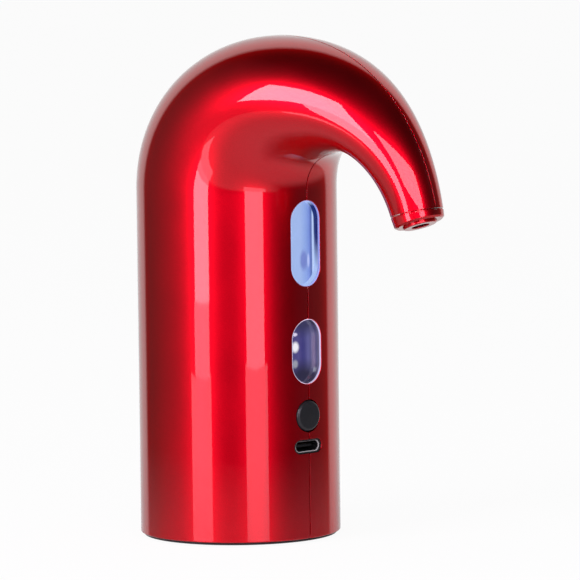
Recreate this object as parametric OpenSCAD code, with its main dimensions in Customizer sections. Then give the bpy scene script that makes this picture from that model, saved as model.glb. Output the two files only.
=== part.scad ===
// Electric wine aerator that sits on a bottle's neck.
// Two painted half shells with an arched spout hold a bottle socket with a ribbed stopper, an air pump,
// a rechargeable cell, two windows, a push button and a charging port.
// Lengths are in millimetres. X points to the spout, Z points up and the foot stands on z = 0.

/* [Body] */
// Outside diameter of the straight body
body_d = 54; // [53:0.5:60]
// Thickness of the shell's wall
wall = 2.2; // [1.8:0.1:2.6]
// Height where the straight body turns into the arch
shoulder_z = 93.3; // [92.5:0.1:98]
// How far the foot ring stands out below the shell
foot_proud = 0.7; // [0.4:0.1:1.2]
// Width of the seam between the half shells
seam_gap = 0.1; // [0.06:0.02:0.2]

/* [Arch] */
// Forward position of the crown
crown_x = 19; // [15:0.5:24]
// Height of the crown, which is the overall height
crown_z = 135; // [130:0.5:145]
// Forward position of the highest point under the arch
throat_x = 43.5; // [41:0.5:46]
// Height of the highest point under the arch
throat_z = 104.9; // [102:0.1:108]
// Forward position of the spout's end
spout_x = 68.2; // [65:0.1:72]
// Height of the spout's end
spout_z = 90.1; // [88:0.1:93]
// Outside diameter of the spout's end
spout_d = 14; // [13.4:0.1:16]
// Lean of the spout's axis, forward of straight down
spout_lean = 13.5; // [8:0.5:18]

/* [Nozzle] */
// How much further forward the nozzle leans than the spout
nozzle_tilt = 6.5; // [4:0.5:8]
// Length of the nozzle collar along its axis
collar_l = 3; // [2.2:0.1:5]
// Diameter of the collar's free end
collar_end_d = 13.2; // [11.5:0.1:13.3]
// Diameter of the nozzle tube
nozzle_d = 9; // [8.4:0.1:9.4]
// Diameter of the outlet hole
outlet_d = 4.6; // [3.6:0.1:5.6]
// How far the nozzle tube stands out of the collar
nozzle_proud = 0.7; // [0.3:0.1:3]

/* [Windows] */
// Width of both windows
window_w = 10.8; // [9.6:0.1:11.6]
// Height of the light window
light_h = 23; // [19:0.5:24]
// Height of the light window's middle
light_z = 79.8; // [78:0.1:82]
// Height of the sight window
sight_h = 17.4; // [14:0.1:17.8]
// Height of the sight window's middle
sight_z = 50.9; // [50.7:0.1:53]

/* [Controls] */
// Diameter of the button
button_d = 8.3; // [7:0.1:9.4]
// Height of the button's middle
button_z = 33.7; // [33.2:0.1:34.6]
// How far the button goes in
button_travel = 0.5; // [0.2:0.1:0.8]
// Height of the charging port's middle
usb_z = 25.5; // [24:0.1:26]

/* [Bottle socket] */
// Inside diameter of the socket for the bottle's neck
socket_d = 30.4; // [29:0.1:31]
// Depth of the socket
socket_depth = 23.3; // [21:0.1:24]
// Diameter over the seal's ribs
seal_d = 19; // [18:0.1:21]
// Diameter of the rigid stopper core
core_d = 14.4; // [14.2:0.1:15.4]
// Diameter of the socket for the dip tube
dip_d = 6; // [4.4:0.1:6.4]
// Depth of the socket for the dip tube
dip_depth = 12; // [6:0.5:15]

/* [Wine path] */
// Inside diameter of the wine hoses
wine_hose_id = 4; // [3.2:0.1:4.2]
// Outside diameter of the wine hoses
wine_hose_od = 6; // [5.2:0.1:6.2]
// Diameter of the aeration chamber, as a share of the room inside the shell
chamber_share = 0.1935; // [0.165:0.0005:0.2]

/* [Air path] */
// Inside diameter of the air hose
air_hose_id = 2.4; // [1.8:0.1:2.6]
// Outside diameter of the air hose
air_hose_od = 4.4; // [3.6:0.1:4.8]
// Diameter of the pump's crankcase and head, as a share of the room inside the shell
pump_share = 0.524; // [0.5:0.002:0.536]
// Diameter of the motor, as a share of the room inside the shell
motor_share = 0.492; // [0.464:0.002:0.5]
// Length of the motor
motor_l = 31; // [28:0.5:33]
// Diameter of the motor's shaft
shaft_d = 2; // [1.5:0.1:2.3]
// Tilt of the wobble plate's pin
wobble_tilt = 10; // [6:0.5:10]

/* [Power] */
// Diameter of the cell, as a share of the room inside the shell
cell_share = 0.288; // [0.262:0.002:0.294]
// Length of the cell
cell_l = 50; // [46:0.5:52]

/* [Fixings] */
// Thread diameter of the screws
screw_d = 2; // [1.6:0.1:2.2]

/* [Hidden] */
$fn = 64;

// Colours
paint = [0.78, 0.02, 0.07];
black = [0.06, 0.06, 0.065];
grey = [0.35, 0.36, 0.38];
white = [0.92, 0.92, 0.93];
steel = [0.72, 0.73, 0.75];
clear = [0.8, 0.88, 0.95, 0.4];
silicone = [0.85, 0.85, 0.83];
green = [0.05, 0.3, 0.16];
copper = [0.72, 0.4, 0.2];
bronze = [0.6, 0.45, 0.25];
ferrite = [0.2, 0.2, 0.21];

// Clearances: sliding assembly, glue line, press line, running shaft and loose hole
fit = 0.1;
bond = 0.05;
press = 0.015;
run = 0.04;
loose = 0.25;

// Radii
body_r = body_d / 2;
in_r = body_r - wall;
spout_r = spout_d / 2;
socket_r = socket_d / 2;
seal_r = seal_d / 2;
core_r = core_d / 2;
dip_r = dip_d / 2;
pump_r = pump_share * in_r;
motor_r = motor_share * in_r;
shaft_r = shaft_d / 2;
cell_r = cell_share * in_r;
chamber_r = chamber_share * in_r;
wine_ir = wine_hose_id / 2;
wine_or = wine_hose_od / 2;
air_ir = air_hose_id / 2;
air_or = air_hose_od / 2;
barb_r = wine_ir - bond;
air_barb_r = air_ir - bond;

// Screws
screw_r = screw_d / 2;
thread_r = screw_r + 0.02;
hole_r = screw_r + 0.12;
head_r = screw_r + 0.7;
head_h = 1.3;

// Levels of the base
plate_t = 4;
groove_depth = 1;
foot_w = 4.2;
plate_z = foot_proud;
plate_top = plate_z + plate_t;
plate_r = in_r - 2 * fit;
foot_or = plate_r - 0.6;
foot_lip_r = body_r - 1;
foot_lip_t = foot_proud - fit * 3;
socket_wall = 1.6;
ceiling_z = plate_z + socket_depth;
ceiling_t = 2;
ceiling_top = ceiling_z + ceiling_t;
base_boss_r = 0.375 * (in_r - socket_r - socket_wall);
base_boss_at = in_r - base_boss_r + 0.25;
base_boss_h = 11;
base_boss_angles = [50, 130];
post_r = 2.4;
post_at = 13;
post_angles = [60, 180, 300];

// Stopper and manifold
core_z = plate_z + 1.8;
core_lip = 0.6;
core_lip_h = 0.7;
core_flange_r = core_r + 1.8;
core_flange_t = 1.5;
core_bore_r = 1.8;
gasket_t = 0.6;
manifold_z = ceiling_top + gasket_t;
manifold_flange_t = 2.4;
tower_r = 6.4;
tower_h = 9;
manifold_top = manifold_z + tower_h;
wine_z = manifold_z + manifold_flange_t + wine_or + 0.2;
air_z = wine_z;
air_at = 5.2;
air_bore_r = 0.8;
valve_r = 1.25;
valve_h = 2.8;
manifold_screw_at = 4.6;
manifold_screw_angles = [120, 210];
manifold_head_r = screw_r + 0.6;
wine_barb_l = 2.4;
air_barb_l = 3;

// Front stack: windows, holders and boards, from outside to inside
lens_inset = 0.05;
lens_r = body_r - lens_inset;
lens_rim = 1;
lens_rim_front = in_r - fit;
lens_rim_back = lens_rim_front - 1;
holder_r = lens_rim_back - bond;
holder_rim = 1.6;
holder_back = holder_r - 4.15;
light_board_t = 1.2;
diffuser_back = holder_back + 1.9;
diffuser_t = 1;
led_t = 1.3;
led_pitch = 7;
usb_recess = 1.6;
usb_front = body_r - usb_recess;
chip_t = 1;
board_t = 1.2;
chamber_x = holder_back - 0.35 - chamber_r;
board_back = max(socket_r + socket_wall + chip_t, chamber_x + wine_or + 0.45) + 2 * fit;
board_front = board_back + board_t;
usb_l = usb_front - board_front;
board_half_w = 10.5;
usb_w = 8.94;
usb_h = 3.26;
usb_metal = 0.3;
usb_gap = 0.27;
button_r = button_d / 2;
button_hole_r = button_r + loose;
button_rim_r = button_hole_r + 0.8;
button_proud = 0.4;
button_rim_t = 0.8;
button_rim_front = sqrt(in_r * in_r - button_rim_r * button_rim_r) - 2 * fit;
button_rim_back = button_rim_front - button_rim_t;
switch_w = 6;
switch_front = button_rim_back - button_travel - 0.4;
stem_r = 1.75;

// Chassis
deck_z = manifold_top + 1.4;
deck_t = 3;
deck_top = deck_z + deck_t;
deck_r = in_r - 0.5;
deck_front = board_back - bond;
board_top = deck_top + 0.5;
board_bottom = usb_z - 7;
board_screw_y = 8;
board_screw_z = deck_z + deck_t / 2;
column_r = 2.2;
column_at = in_r - 5.2;
column_angles = [102, -102];
clamp_z = deck_top + cell_l + bond;
clamp_t = 2.2;
cell_at = in_r - cell_r - 0.6;
cell_angle = 56;
cell_x = cell_at * cos(cell_angle);
cell_y = cell_at * sin(cell_angle);

// Wine path
chamber_bottom = sight_z - sight_h / 2 - 0.4;
chamber_top = sight_z + sight_h / 2 + 0.4;
chamber_wall = 1.2;
chamber_barb_l = 4;
wine_bend_r = chamber_x - tower_r - wine_barb_l - 0.2;
jet_l = 6;

// Pump, in a frame that starts at the motor's face and points down
peg_at = in_r - 2.2;
peg_boss_r = 2.4;
peg_boss_l = 5;
peg_r = 1.2;
peg_l = 3;
pad_t = 2;
case_h = 14;
sheet_t = 1;
valve_plate_t = 2.5;
head_len = 4.5;
pump_h = case_h + sheet_t + valve_plate_t + head_len;
pump_x = motor_r + 0.5 + peg_boss_r - peg_at;
pump_z = deck_top + pad_t + pump_h;
peg_heights = [14, pump_z + peg_boss_r + 1.8, pump_z + 22];
pump_turn = 30;
pump_arms = [0, 120, 240];
pump_screw_turn = 60;
pump_post_r = 1.9;
pump_screw_at = pump_r - pump_post_r - 0.1;
pad_r = pump_screw_at - head_r - 0.7;
case_wall = 1.6;
case_floor = 1.8;
nipple_turn = 60;
nipple_l = 4;
nipple_h = pump_h - 2.3;
nipple_dir = [cos(nipple_turn), -sin(nipple_turn), 0];
air_turn = [pump_x, 0, pump_z - nipple_h] + nipple_dir * (pump_r + nipple_l + 1.6);
air_drop = air_turn + [1.8, -2.4, 0];
wobble_o = case_h - 1;
wobble_pin_r = 0.9;
wobble_arm_at = pump_screw_at - 4;
wobble_hub_l = 4.9;
wobble_pin_set = 2.3;
wobble_pin_l = 4.8;
wobble_pad_r = 2.4;
wobble_pad_hole_r = 1.4;
stalk_r = 0.7;
eccentric_r = 4.2;
eccentric_z = 2.6;
eccentric_h = wobble_o - wobble_hub_l - 0.7 - eccentric_z;
shaft_set = 2.8;
motor_wall = 0.8;
bush_r = 2.5;
armature_r = 6.6;
armature_low = 7.5;
armature_high = 9.5;
winding_t = 1.6;
winding_gap = 0.1;
slot_at = 3;
slot_w = 2.6;
magnet_r = armature_r + 0.6;
terminal_at = 8;
terminal_l = 4;
motor_screw_at = 8;

// Arch: two profile curves in the plane of symmetry and round sections between them
handle = 0.5523;
outer_handle = 0.6;
inner_handle = 0.74;
outer_end_lean = 12;
inner_end_lean = 21.7;
ring_steps = 30;
arch_steps = 17;
bottom_edge = 0.5;
across = [cos(spout_lean), sin(spout_lean)];
nozzle_lean = spout_lean + nozzle_tilt;
nozzle_r = nozzle_d / 2;
nozzle_neck_r = nozzle_r - 1.2;
nozzle_groove = 0.3;
nozzle_step = nozzle_groove + 0.8;
spout_tip = [spout_x, spout_z];

function unit(v) = v / norm(v);
function bezier(p, t) = p[0] * pow(1 - t, 3) + p[1] * 3 * t * pow(1 - t, 2)
    + p[2] * 3 * t * t * (1 - t) + p[3] * pow(t, 3);
function profile(start, top, tip, lean, top_handle) = [
    [start, start + [0, handle * (top[1] - start[1])], top - [top_handle * (top[0] - start[0]), 0], top],
    [top, top + [handle * (tip[0] - top[0]), 0],
        tip - [sin(lean), -cos(lean)] * handle * (top[1] - tip[1]), tip]];
outer_curve = profile([-body_r, shoulder_z], [crown_x, crown_z], spout_tip + spout_r * across,
    outer_end_lean, outer_handle);
inner_curve = profile([body_r, shoulder_z], [throat_x, throat_z], spout_tip - spout_r * across,
    inner_end_lean, inner_handle);
function along(curve, s) = s <= 1 ? bezier(curve[0], s) : bezier(curve[1], s - 1);
// Pace of the inner curve against the outer one, so that the sections pass the crown without a crease
function run_in(curve) = curve[0][3][0] - curve[0][2][0];
function run_out(curve) = curve[1][1][0] - curve[1][0][0];
pace_step = sqrt(run_out(outer_curve) / run_out(inner_curve) * run_in(inner_curve) / run_in(outer_curve));
function pace(s) = s <= 1 ? s + (1 - 1 / pace_step) * (s * s - s * s * s)
    : s + (pace_step - 1) * (s - 1) * pow(2 - s, 2);
function inner_along(s) = along(inner_curve, pace(s));
function half_ring(middle, dir, r) = [for (j = [0:ring_steps]) let (t = 180 * j / ring_steps)
    [middle[0] + r * cos(t) * dir[0], max(r * sin(t), seam_gap / 2), middle[1] + r * cos(t) * dir[1]]];
function arch_ring(s, inset) = let (a = along(outer_curve, s), b = inner_along(s))
    half_ring((a + b) / 2, unit(b - a), norm(b - a) / 2 - inset);
function arch_middle(s) = let (m = (along(outer_curve, s) + inner_along(s)) / 2) [m[0], 0, m[1]];
function nozzle_point(z) = [spout_x + z * sin(nozzle_lean), 0, spout_z - z * cos(nozzle_lean)];

// Smooth path through points, and frames carried along it without twist
function smooth(p, steps) = concat([for (i = [0:len(p) - 2], k = [0:steps - 1])
    let (t = k / steps, a = p[max(i - 1, 0)], b = p[i], c = p[i + 1], d = p[min(i + 2, len(p) - 1)])
    b + (c - a) / 2 * t + (2 * a - 5 * b + 4 * c - d) / 2 * t * t
        + (3 * b - 3 * c + d - a) / 2 * t * t * t], [p[len(p) - 1]]);
function heading(p, i) = unit(p[min(i + 1, len(p) - 1)] - p[max(i - 1, 0)]);
function square_to(v, t) = unit(v - (v * t) * t);
function sides_of(p, first) = [for (i = 0, n = square_to(first, heading(p, 0)); i < len(p);
    i = i + 1, n = i < len(p) ? square_to(n, heading(p, i)) : n) n];
function tube_rings(p, first, r, n) = let (side = sides_of(p, first)) [for (i = [0:len(p) - 1])
    let (a = side[i], b = cross(heading(p, i), a))
    [for (j = [0:n - 1]) p[i] + r * (cos(360 * j / n) * a + sin(360 * j / n) * b)]];

// Closed surface between outer and inner rings; a full ring closes on itself, a half ring gets seam faces
module ring_skin(outer, inner, closed) {
    m = len(outer);
    n = len(outer[0]);
    e = m * n;
    last = closed ? n - 1 : n - 2;
    polyhedron(points = concat([for (r = outer) each r], [for (r = inner) each r]), faces = concat(
        [for (i = [0:m - 2], j = [0:last]) let (k = (j + 1) % n) each
            [[i * n + j, i * n + n + j, i * n + n + k], [i * n + j, i * n + n + k, i * n + k]]],
        [for (i = [0:m - 2], j = [0:last]) let (k = (j + 1) % n) each
            [[e + i * n + j, e + i * n + n + k, e + i * n + n + j],
                [e + i * n + j, e + i * n + k, e + i * n + n + k]]],
        [for (j = [0:last]) let (k = (j + 1) % n) each
            [[j, k, e + k], [j, e + k, e + j]]],
        [for (j = [0:last]) let (k = (j + 1) % n, t = (m - 1) * n) each
            [[t + j, e + t + k, t + k], [t + j, e + t + j, e + t + k]]],
        closed ? [] : [for (i = [0:m - 2]) each
            [[i * n, e + i * n, e + i * n + n], [i * n, e + i * n + n, i * n + n]]],
        closed ? [] : [for (i = [0:m - 2]) let (j = n - 1) each
            [[i * n + j, e + i * n + n + j, e + i * n + j],
                [i * n + j, i * n + n + j, e + i * n + n + j]]]));
}

module hose(path, first, r_out, r_in, n) {
    ring_skin(tube_rings(path, first, r_out, n), tube_rings(path, first, r_in / cos(180 / n), n), true);
}

module wire(path, first, r) {
    n = 8;
    m = len(path);
    polyhedron(points = [for (q = tube_rings(path, first, r, n)) each q], faces = concat(
        [for (i = [0:m - 2], j = [0:n - 1]) let (k = (j + 1) % n) each
            [[i * n + j, i * n + n + j, i * n + n + k], [i * n + j, i * n + n + k, i * n + k]]],
        [[for (j = [0:n - 1]) j]],
        [[for (j = [n - 1:-1:0]) (m - 1) * n + j]]));
}

// Stadium outline, and the same pushed along X between two planes
module stadium(w, h) {
    square([w, h - w], center = true);
    translate([0, (h - w) / 2]) circle(d = w);
    translate([0, (w - h) / 2]) circle(d = w);
}

module pill(w, h, x0, x1, z) {
    translate([x0, 0, z]) rotate([90, 0, 90]) linear_extrude(x1 - x0) stadium(w, h);
}

module rod_x(r, x0, x1, y, z) {
    translate([x0, y, z]) rotate([0, 90, 0]) cylinder(r = r, h = x1 - x0);
}

module ring(r_out, r_in, z0, z1) {
    difference() {
        translate([0, 0, z0]) cylinder(r = r_out, h = z1 - z0);
        translate([0, 0, z0 - 1]) cylinder(r = r_in, h = z1 - z0 + 2);
    }
}

// Screw along +Z with its head's underside at z = 0 and the head below
module screw(l, r_head) {
    difference() {
        union() {
            translate([0, 0, -head_h]) cylinder(r = r_head, h = head_h);
            translate([0, 0, -0.2]) cylinder(r = screw_r, h = l + 0.2);
        }
        translate([0, 0, -head_h - 1]) cylinder(r = r_head * 0.5, h = 1.7, $fn = 6);
    }
}

module at_angle(r, a) {
    translate([r * cos(a), r * sin(a), 0]) children();
}

module half_skin() {
    outer = concat([half_ring([0, plate_z], [1, 0], body_r - bottom_edge),
        half_ring([0, plate_z + bottom_edge], [1, 0], body_r)],
        [for (i = [0:2 * arch_steps]) arch_ring(i / arch_steps, 0)]);
    inner = concat(
        [half_ring([0, plate_z], [1, 0], in_r), half_ring([0, plate_z + bottom_edge], [1, 0], in_r)],
        [for (i = [0:2 * arch_steps]) arch_ring(i / arch_steps, wall)]);
    ring_skin(outer, inner, false);
}

module front_openings() {
    pill(window_w, light_h, in_r - 4, body_r + 2, light_z);
    pill(window_w, sight_h, in_r - 4, body_r + 2, sight_z);
    rod_x(button_hole_r, in_r - 4, body_r + 2, 0, button_z);
    translate([in_r - 4, 0, usb_z]) rotate([90, 0, 90]) linear_extrude(wall + 6) rotate(90)
        stadium(usb_h + 2 * usb_gap, usb_w + 4 * usb_gap);
}

module base_boss() {
    translate([0, 0, plate_top]) cylinder(r = base_boss_r, h = base_boss_h);
}

module base_boss_bore() {
    translate([0, 0, plate_top - 1]) cylinder(r = thread_r, h = base_boss_h - 1);
}

module peg_boss(z) {
    translate([-peg_at, seam_gap / 2 + bond, z]) rotate([-90, 0, 0])
        cylinder(r = peg_boss_r, h = peg_boss_l);
}

module shell_left() {
    color(paint) difference() {
        union() {
            half_skin();
            for (a = base_boss_angles) at_angle(base_boss_at, a) base_boss();
            for (z = peg_heights) {
                peg_boss(z);
                translate([-peg_at, peg_boss_l / 2, z]) rotate([90, 0, 0])
                    cylinder(r = peg_r, h = peg_boss_l / 2 + peg_l);
            }
        }
        front_openings();
        for (a = base_boss_angles) at_angle(base_boss_at, a) base_boss_bore();
    }
}

module shell_right() {
    color(paint) mirror([0, 1, 0]) difference() {
        union() {
            half_skin();
            for (a = base_boss_angles) at_angle(base_boss_at, a) base_boss();
            for (z = peg_heights) peg_boss(z);
        }
        front_openings();
        for (a = base_boss_angles) at_angle(base_boss_at, a) base_boss_bore();
        for (z = peg_heights) translate([-peg_at, -1, z]) rotate([-90, 0, 0])
            cylinder(r = peg_r + fit, h = peg_l + 1.3);
    }
}

module base_cover() {
    color(black) difference() {
        union() {
            rotate_extrude() polygon([
                [socket_r + 1, plate_z], [socket_r, plate_z + 1], [socket_r, ceiling_z],
                [core_r + fit, ceiling_z], [core_r + fit, ceiling_top],
                    [socket_r + socket_wall, ceiling_top],
                [socket_r + socket_wall, plate_top], [plate_r, plate_top], [plate_r, plate_z],
                [foot_or + fit, plate_z], [foot_or + fit, plate_z + groove_depth],
                [foot_or - foot_w - fit, plate_z + groove_depth], [foot_or - foot_w - fit, plate_z]]);
            for (a = post_angles) at_angle(post_at, a) translate([0, 0, ceiling_top - 0.5])
                cylinder(r = post_r, h = deck_z - ceiling_top + 0.5);
        }
        for (a = post_angles) at_angle(post_at, a) translate([0, 0, deck_z - 8])
            cylinder(r = thread_r, h = 9);
        for (a = base_boss_angles, s = [1, -1]) at_angle(base_boss_at, s * a) {
            translate([0, 0, plate_z - 1]) cylinder(r = hole_r, h = plate_t + 2);
            translate([0, 0, plate_z]) cylinder(r = head_r + fit, h = groove_depth + head_h + 0.1);
        }
    }
}

module base_screws() {
    color(steel) for (a = base_boss_angles, s = [1, -1]) at_angle(base_boss_at, s * a)
        translate([0, 0, plate_z + groove_depth + head_h + 0.1]) screw(9, head_r);
}

module foot_ring() {
    color(black) rotate_extrude() polygon([
        [foot_or - foot_w, 0], [foot_lip_r, 0], [foot_lip_r, foot_lip_t], [foot_or, foot_lip_t],
        [foot_or, plate_z + groove_depth], [foot_or - foot_w, plate_z + groove_depth]]);
}

module stopper_core() {
    color(grey) difference() {
        rotate_extrude() polygon([
            [dip_r, core_z], [core_r + core_lip, core_z], [core_r + core_lip, core_z + core_lip_h],
            [core_r, core_z + core_lip_h], [core_r, ceiling_z - core_flange_t],
            [core_flange_r, ceiling_z - core_flange_t], [core_flange_r, ceiling_z], [core_r, ceiling_z],
            [core_r, manifold_z], [core_bore_r, manifold_z], [core_bore_r, core_z + dip_depth],
            [dip_r, core_z + dip_depth]]);
        translate([0, -air_at, core_z - 1]) cylinder(r = air_bore_r, h = manifold_z - core_z + 2);
        translate([0, -air_at, manifold_z - valve_h]) cylinder(r = valve_r + bond, h = valve_h + 1);
        for (a = manifold_screw_angles) at_angle(manifold_screw_at, a)
            translate([0, 0, manifold_z - 6]) cylinder(r = thread_r, h = 7);
    }
}

module bottle_seal() {
    low = core_z + core_lip_h + bond;
    high = ceiling_z - core_flange_t - bond;
    skin_r = core_r + (seal_r - core_r) / 2;
    ribs = [for (k = [0:2]) low + 4.6 + k * (high - low - 7.4) / 2];
    color(silicone) rotate_extrude() polygon(concat(
        [[core_r + bond, low], [core_r + 0.6, low], [skin_r, low + 2.4]],
        [for (z = ribs) each [[skin_r, z - 1.6], [seal_r, z - 0.7], [seal_r, z + 0.7], [skin_r, z + 1.6]]],
        [[skin_r, high], [core_r + bond, high]]));
}

module manifold() {
    color(grey) difference() {
        union() {
            translate([0, 0, manifold_z]) cylinder(r = core_flange_r, h = manifold_flange_t);
            translate([0, 0, manifold_z]) cylinder(r = tower_r, h = tower_h);
            rod_x(barb_r, tower_r - 1, tower_r + wine_barb_l, 0, wine_z);
            translate([0, 1 - tower_r, air_z]) rotate([90, 0, 0])
                cylinder(r = air_barb_r, h = air_barb_l + 1);
        }
        translate([0, 0, manifold_z - 1]) cylinder(r = core_bore_r, h = wine_z - manifold_z + 1);
        rod_x(barb_r - 0.7, 0, tower_r + wine_barb_l + 1, 0, wine_z);
        translate([0, -air_at, manifold_z - 1]) cylinder(r = air_bore_r, h = air_z - manifold_z + 1);
        translate([0, -air_at, air_z]) rotate([90, 0, 0])
            cylinder(r = air_barb_r - 0.5, h = air_barb_l + 3);
        for (a = manifold_screw_angles) at_angle(manifold_screw_at, a)
            translate([0, 0, manifold_z - 1]) cylinder(r = hole_r, h = tower_h + 2);
    }
}

module manifold_gasket() {
    color(silicone) ring(core_flange_r - fit, core_r + fit, ceiling_top, manifold_z);
}

module manifold_screws() {
    color(steel) for (a = manifold_screw_angles) at_angle(manifold_screw_at, a)
        translate([0, 0, manifold_top]) rotate([180, 0, 0]) screw(tower_h + 5, manifold_head_r);
}

module air_valve() {
    color(black) translate([0, -air_at, manifold_z - valve_h]) difference() {
        cylinder(r = valve_r, h = valve_h);
        translate([0, 0, 0.7]) cylinder(r = air_bore_r, h = valve_h);
        translate([-0.08, -air_bore_r, -1]) cube([0.16, 2 * air_bore_r, 2]);
    }
}

module wine_hose_lower() {
    x0 = tower_r + wine_barb_l + 0.2;
    path = concat([[tower_r + 0.15, 0, wine_z], [(tower_r + x0) / 2, 0, wine_z]],
        [for (a = [0:10:90]) [x0 + wine_bend_r * sin(a), 0, wine_z + wine_bend_r * (1 - cos(a))]],
        [[chamber_x, 0, (wine_z + wine_bend_r + chamber_bottom) / 2],
            [chamber_x, 0, chamber_bottom - 0.15]]);
    color(silicone) hose(path, [0, 1, 0], wine_or, wine_ir, 16);
}

module aeration_chamber() {
    color(clear) translate([chamber_x, 0, 0]) rotate_extrude() polygon([
        [barb_r - 0.7, chamber_bottom - chamber_barb_l], [barb_r, chamber_bottom - chamber_barb_l],
        [barb_r, chamber_bottom], [chamber_r, chamber_bottom], [chamber_r, chamber_top],
        [barb_r, chamber_top], [barb_r, chamber_top + chamber_barb_l],
            [barb_r - 0.7, chamber_top + chamber_barb_l],
        [barb_r - 0.7, chamber_top - chamber_wall], [chamber_r - chamber_wall, chamber_top - chamber_wall],
        [chamber_r - chamber_wall, chamber_bottom + chamber_wall],
            [barb_r - 0.7, chamber_bottom + chamber_wall]]);
}

module aeration_jet() {
    z = chamber_bottom + chamber_wall;
    r = chamber_r - chamber_wall - bond;
    color(steel) translate([chamber_x, 0, 0]) rotate_extrude() polygon([
        [barb_r - 0.7, z], [r, z], [r, z + 1.2], [barb_r, z + 1.2], [1.1, z + jet_l], [0.6, z + jet_l]]);
}

module wine_hose_upper() {
    stops = concat(
        [for (dz = [0.15, 2.5, 5, 8]) [chamber_x, 0, chamber_top + dz]],
        [[chamber_x, 0, shoulder_z - 10], [chamber_x + 1, 0, shoulder_z + 6]],
        [for (s = [0.85, 1.1, 1.3, 1.5, 1.63]) arch_middle(s)],
        [for (z = [-12.4, -9.5, -7.8, -6.2]) nozzle_point(z)]);
    color(silicone) hose(smooth(stops, 3), [0, 1, 0], wine_or, wine_ir, 16);
}

module in_spout() {
    translate([spout_x, 0, spout_z]) rotate([0, 180 - spout_lean, 0]) children();
}

module in_nozzle() {
    in_spout() rotate([0, -nozzle_tilt, 0]) children();
}

module nozzle_collar() {
    spigot_l = 4;
    spigot_r = spout_r - wall - 0.4;
    edge = 0.45;
    color(paint) difference() {
        union() {
            in_spout() translate([0, 0, -spigot_l]) cylinder(r = spigot_r, h = spigot_l + nozzle_step);
            intersection() {
                in_nozzle() rotate_extrude() polygon([
                    [0, -spout_r], [spout_r, -spout_r], [spout_r, nozzle_groove],
                    [collar_end_d / 2 + edge * 0.3, collar_l - edge], [collar_end_d / 2 - edge, collar_l],
                    [0, collar_l]]);
                in_spout() translate([0, 0, nozzle_groove]) cylinder(r = 2 * spout_r, h = 2 * spout_r);
            }
        }
        in_nozzle() translate([0, 0, -spout_r]) cylinder(r = nozzle_neck_r + fit, h = spout_r + collar_l);
        in_nozzle() translate([0, 0, nozzle_step]) cylinder(r = nozzle_r + fit, h = collar_l);
    }
}

module nozzle_insert() {
    end = collar_l + nozzle_proud;
    color(paint) in_nozzle() rotate_extrude() polygon([
        [barb_r - 0.7, -9.4], [barb_r, -9.4], [barb_r, -6], [nozzle_neck_r, -6],
        [nozzle_neck_r, nozzle_step + bond], [nozzle_r, nozzle_step + bond], [nozzle_r, end - 0.3],
        [nozzle_r - 0.3, end], [outlet_d / 2 + 0.3, end], [outlet_d / 2, end - 0.3], [outlet_d / 2, -2],
        [barb_r - 0.7, -3.5]]);
}

module pump_place() {
    translate([pump_x, 0, pump_z]) rotate([180, 0, 0]) children();
}

module air_hose() {
    from = [pump_x, 0, pump_z - nipple_h];
    stops = concat([for (d = [0.2, nipple_l / 2, nipple_l + 0.1]) from + nipple_dir * (pump_r + d)],
        [air_turn, air_drop + [0, 0, -3.6], air_drop + [0, 0, -7.6], air_drop + [-1.4, 2.2, -10.6],
        [0.5, -tower_r - air_barb_l - 4.2, air_z + 0.4]],
        [for (d = [air_barb_l + 1.4, air_barb_l + 0.1, air_barb_l / 2, 0.2]) [0, -tower_r - d, air_z]]);
    color(silicone) hose(smooth(stops, 4), [0, 0, 1], air_or, air_ir, 12);
}

module lens(h, z) {
    intersection() {
        pill(window_w - 2 * fit, h - 2 * fit, lens_rim_back - 6, body_r + 1, z);
        translate([0, 0, z - h]) ring(lens_r, lens_rim_back, 0, 2 * h);
    }
    intersection() {
        pill(window_w + 2 * lens_rim, h + 2 * lens_rim, lens_rim_back - 6, body_r + 1, z);
        translate([0, 0, z - h]) ring(lens_rim_front, lens_rim_back, 0, 2 * h);
    }
}

module holder(h, z) {
    intersection() {
        pill(window_w + 2 * holder_rim, h + 2 * holder_rim, holder_back, body_r, z);
        translate([0, 0, z - h]) cylinder(r = holder_r, h = 2 * h);
    }
}

module light_window() {
    color(clear) lens(light_h, light_z);
}

module light_box() {
    color(white) difference() {
        holder(light_h, light_z);
        pill(window_w, light_h, diffuser_back, body_r, light_z);
        pill(window_w - 1.6, light_h - 1.6, holder_back - 1, body_r, light_z);
    }
}

module light_diffuser() {
    color(white) pill(window_w - fit, light_h - fit, diffuser_back, diffuser_back + diffuser_t, light_z);
}

module light_board() {
    w = window_w + 2 * holder_rim;
    h = light_h + 2 * holder_rim;
    color(green) translate([holder_back - light_board_t, -w / 2, light_z - h / 2])
        cube([light_board_t, w, h]);
}

module light_leds() {
    color(white) for (k = [-1:1]) translate([holder_back, -1.5, light_z + k * led_pitch - 1.5])
        cube([led_t, 3, 3]);
}

module sight_window() {
    color(clear) lens(sight_h, sight_z);
}

module sight_bezel() {
    color(black) difference() {
        holder(sight_h, sight_z);
        pill(window_w, sight_h, holder_back - 1, body_r, sight_z);
    }
}

module sight_led() {
    color(white) translate([board_front, -4.2, board_top - 2]) cube([1, 1.6, 1.6]);
}

module button_cap() {
    front = body_r + button_proud;
    edge = 0.5;
    color(black) translate([0, 0, button_z]) rotate([0, 90, 0]) rotate_extrude() polygon([
        [0, button_rim_back], [button_rim_r, button_rim_back], [button_rim_r, button_rim_front],
        [button_r, button_rim_front], [button_r, front - edge], [button_r - edge, front], [0, front]]);
}

module switch_body() {
    color(grey) difference() {
        translate([board_front, -switch_w / 2, button_z - switch_w / 2])
            cube([switch_front - board_front, switch_w, switch_w]);
        rod_x(stem_r + fit, switch_front - button_travel - 0.5, switch_front + 1, 0, button_z);
    }
}

module switch_stem() {
    color(white) rod_x(stem_r, switch_front - 0.3, button_rim_back, 0, button_z);
}

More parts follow.
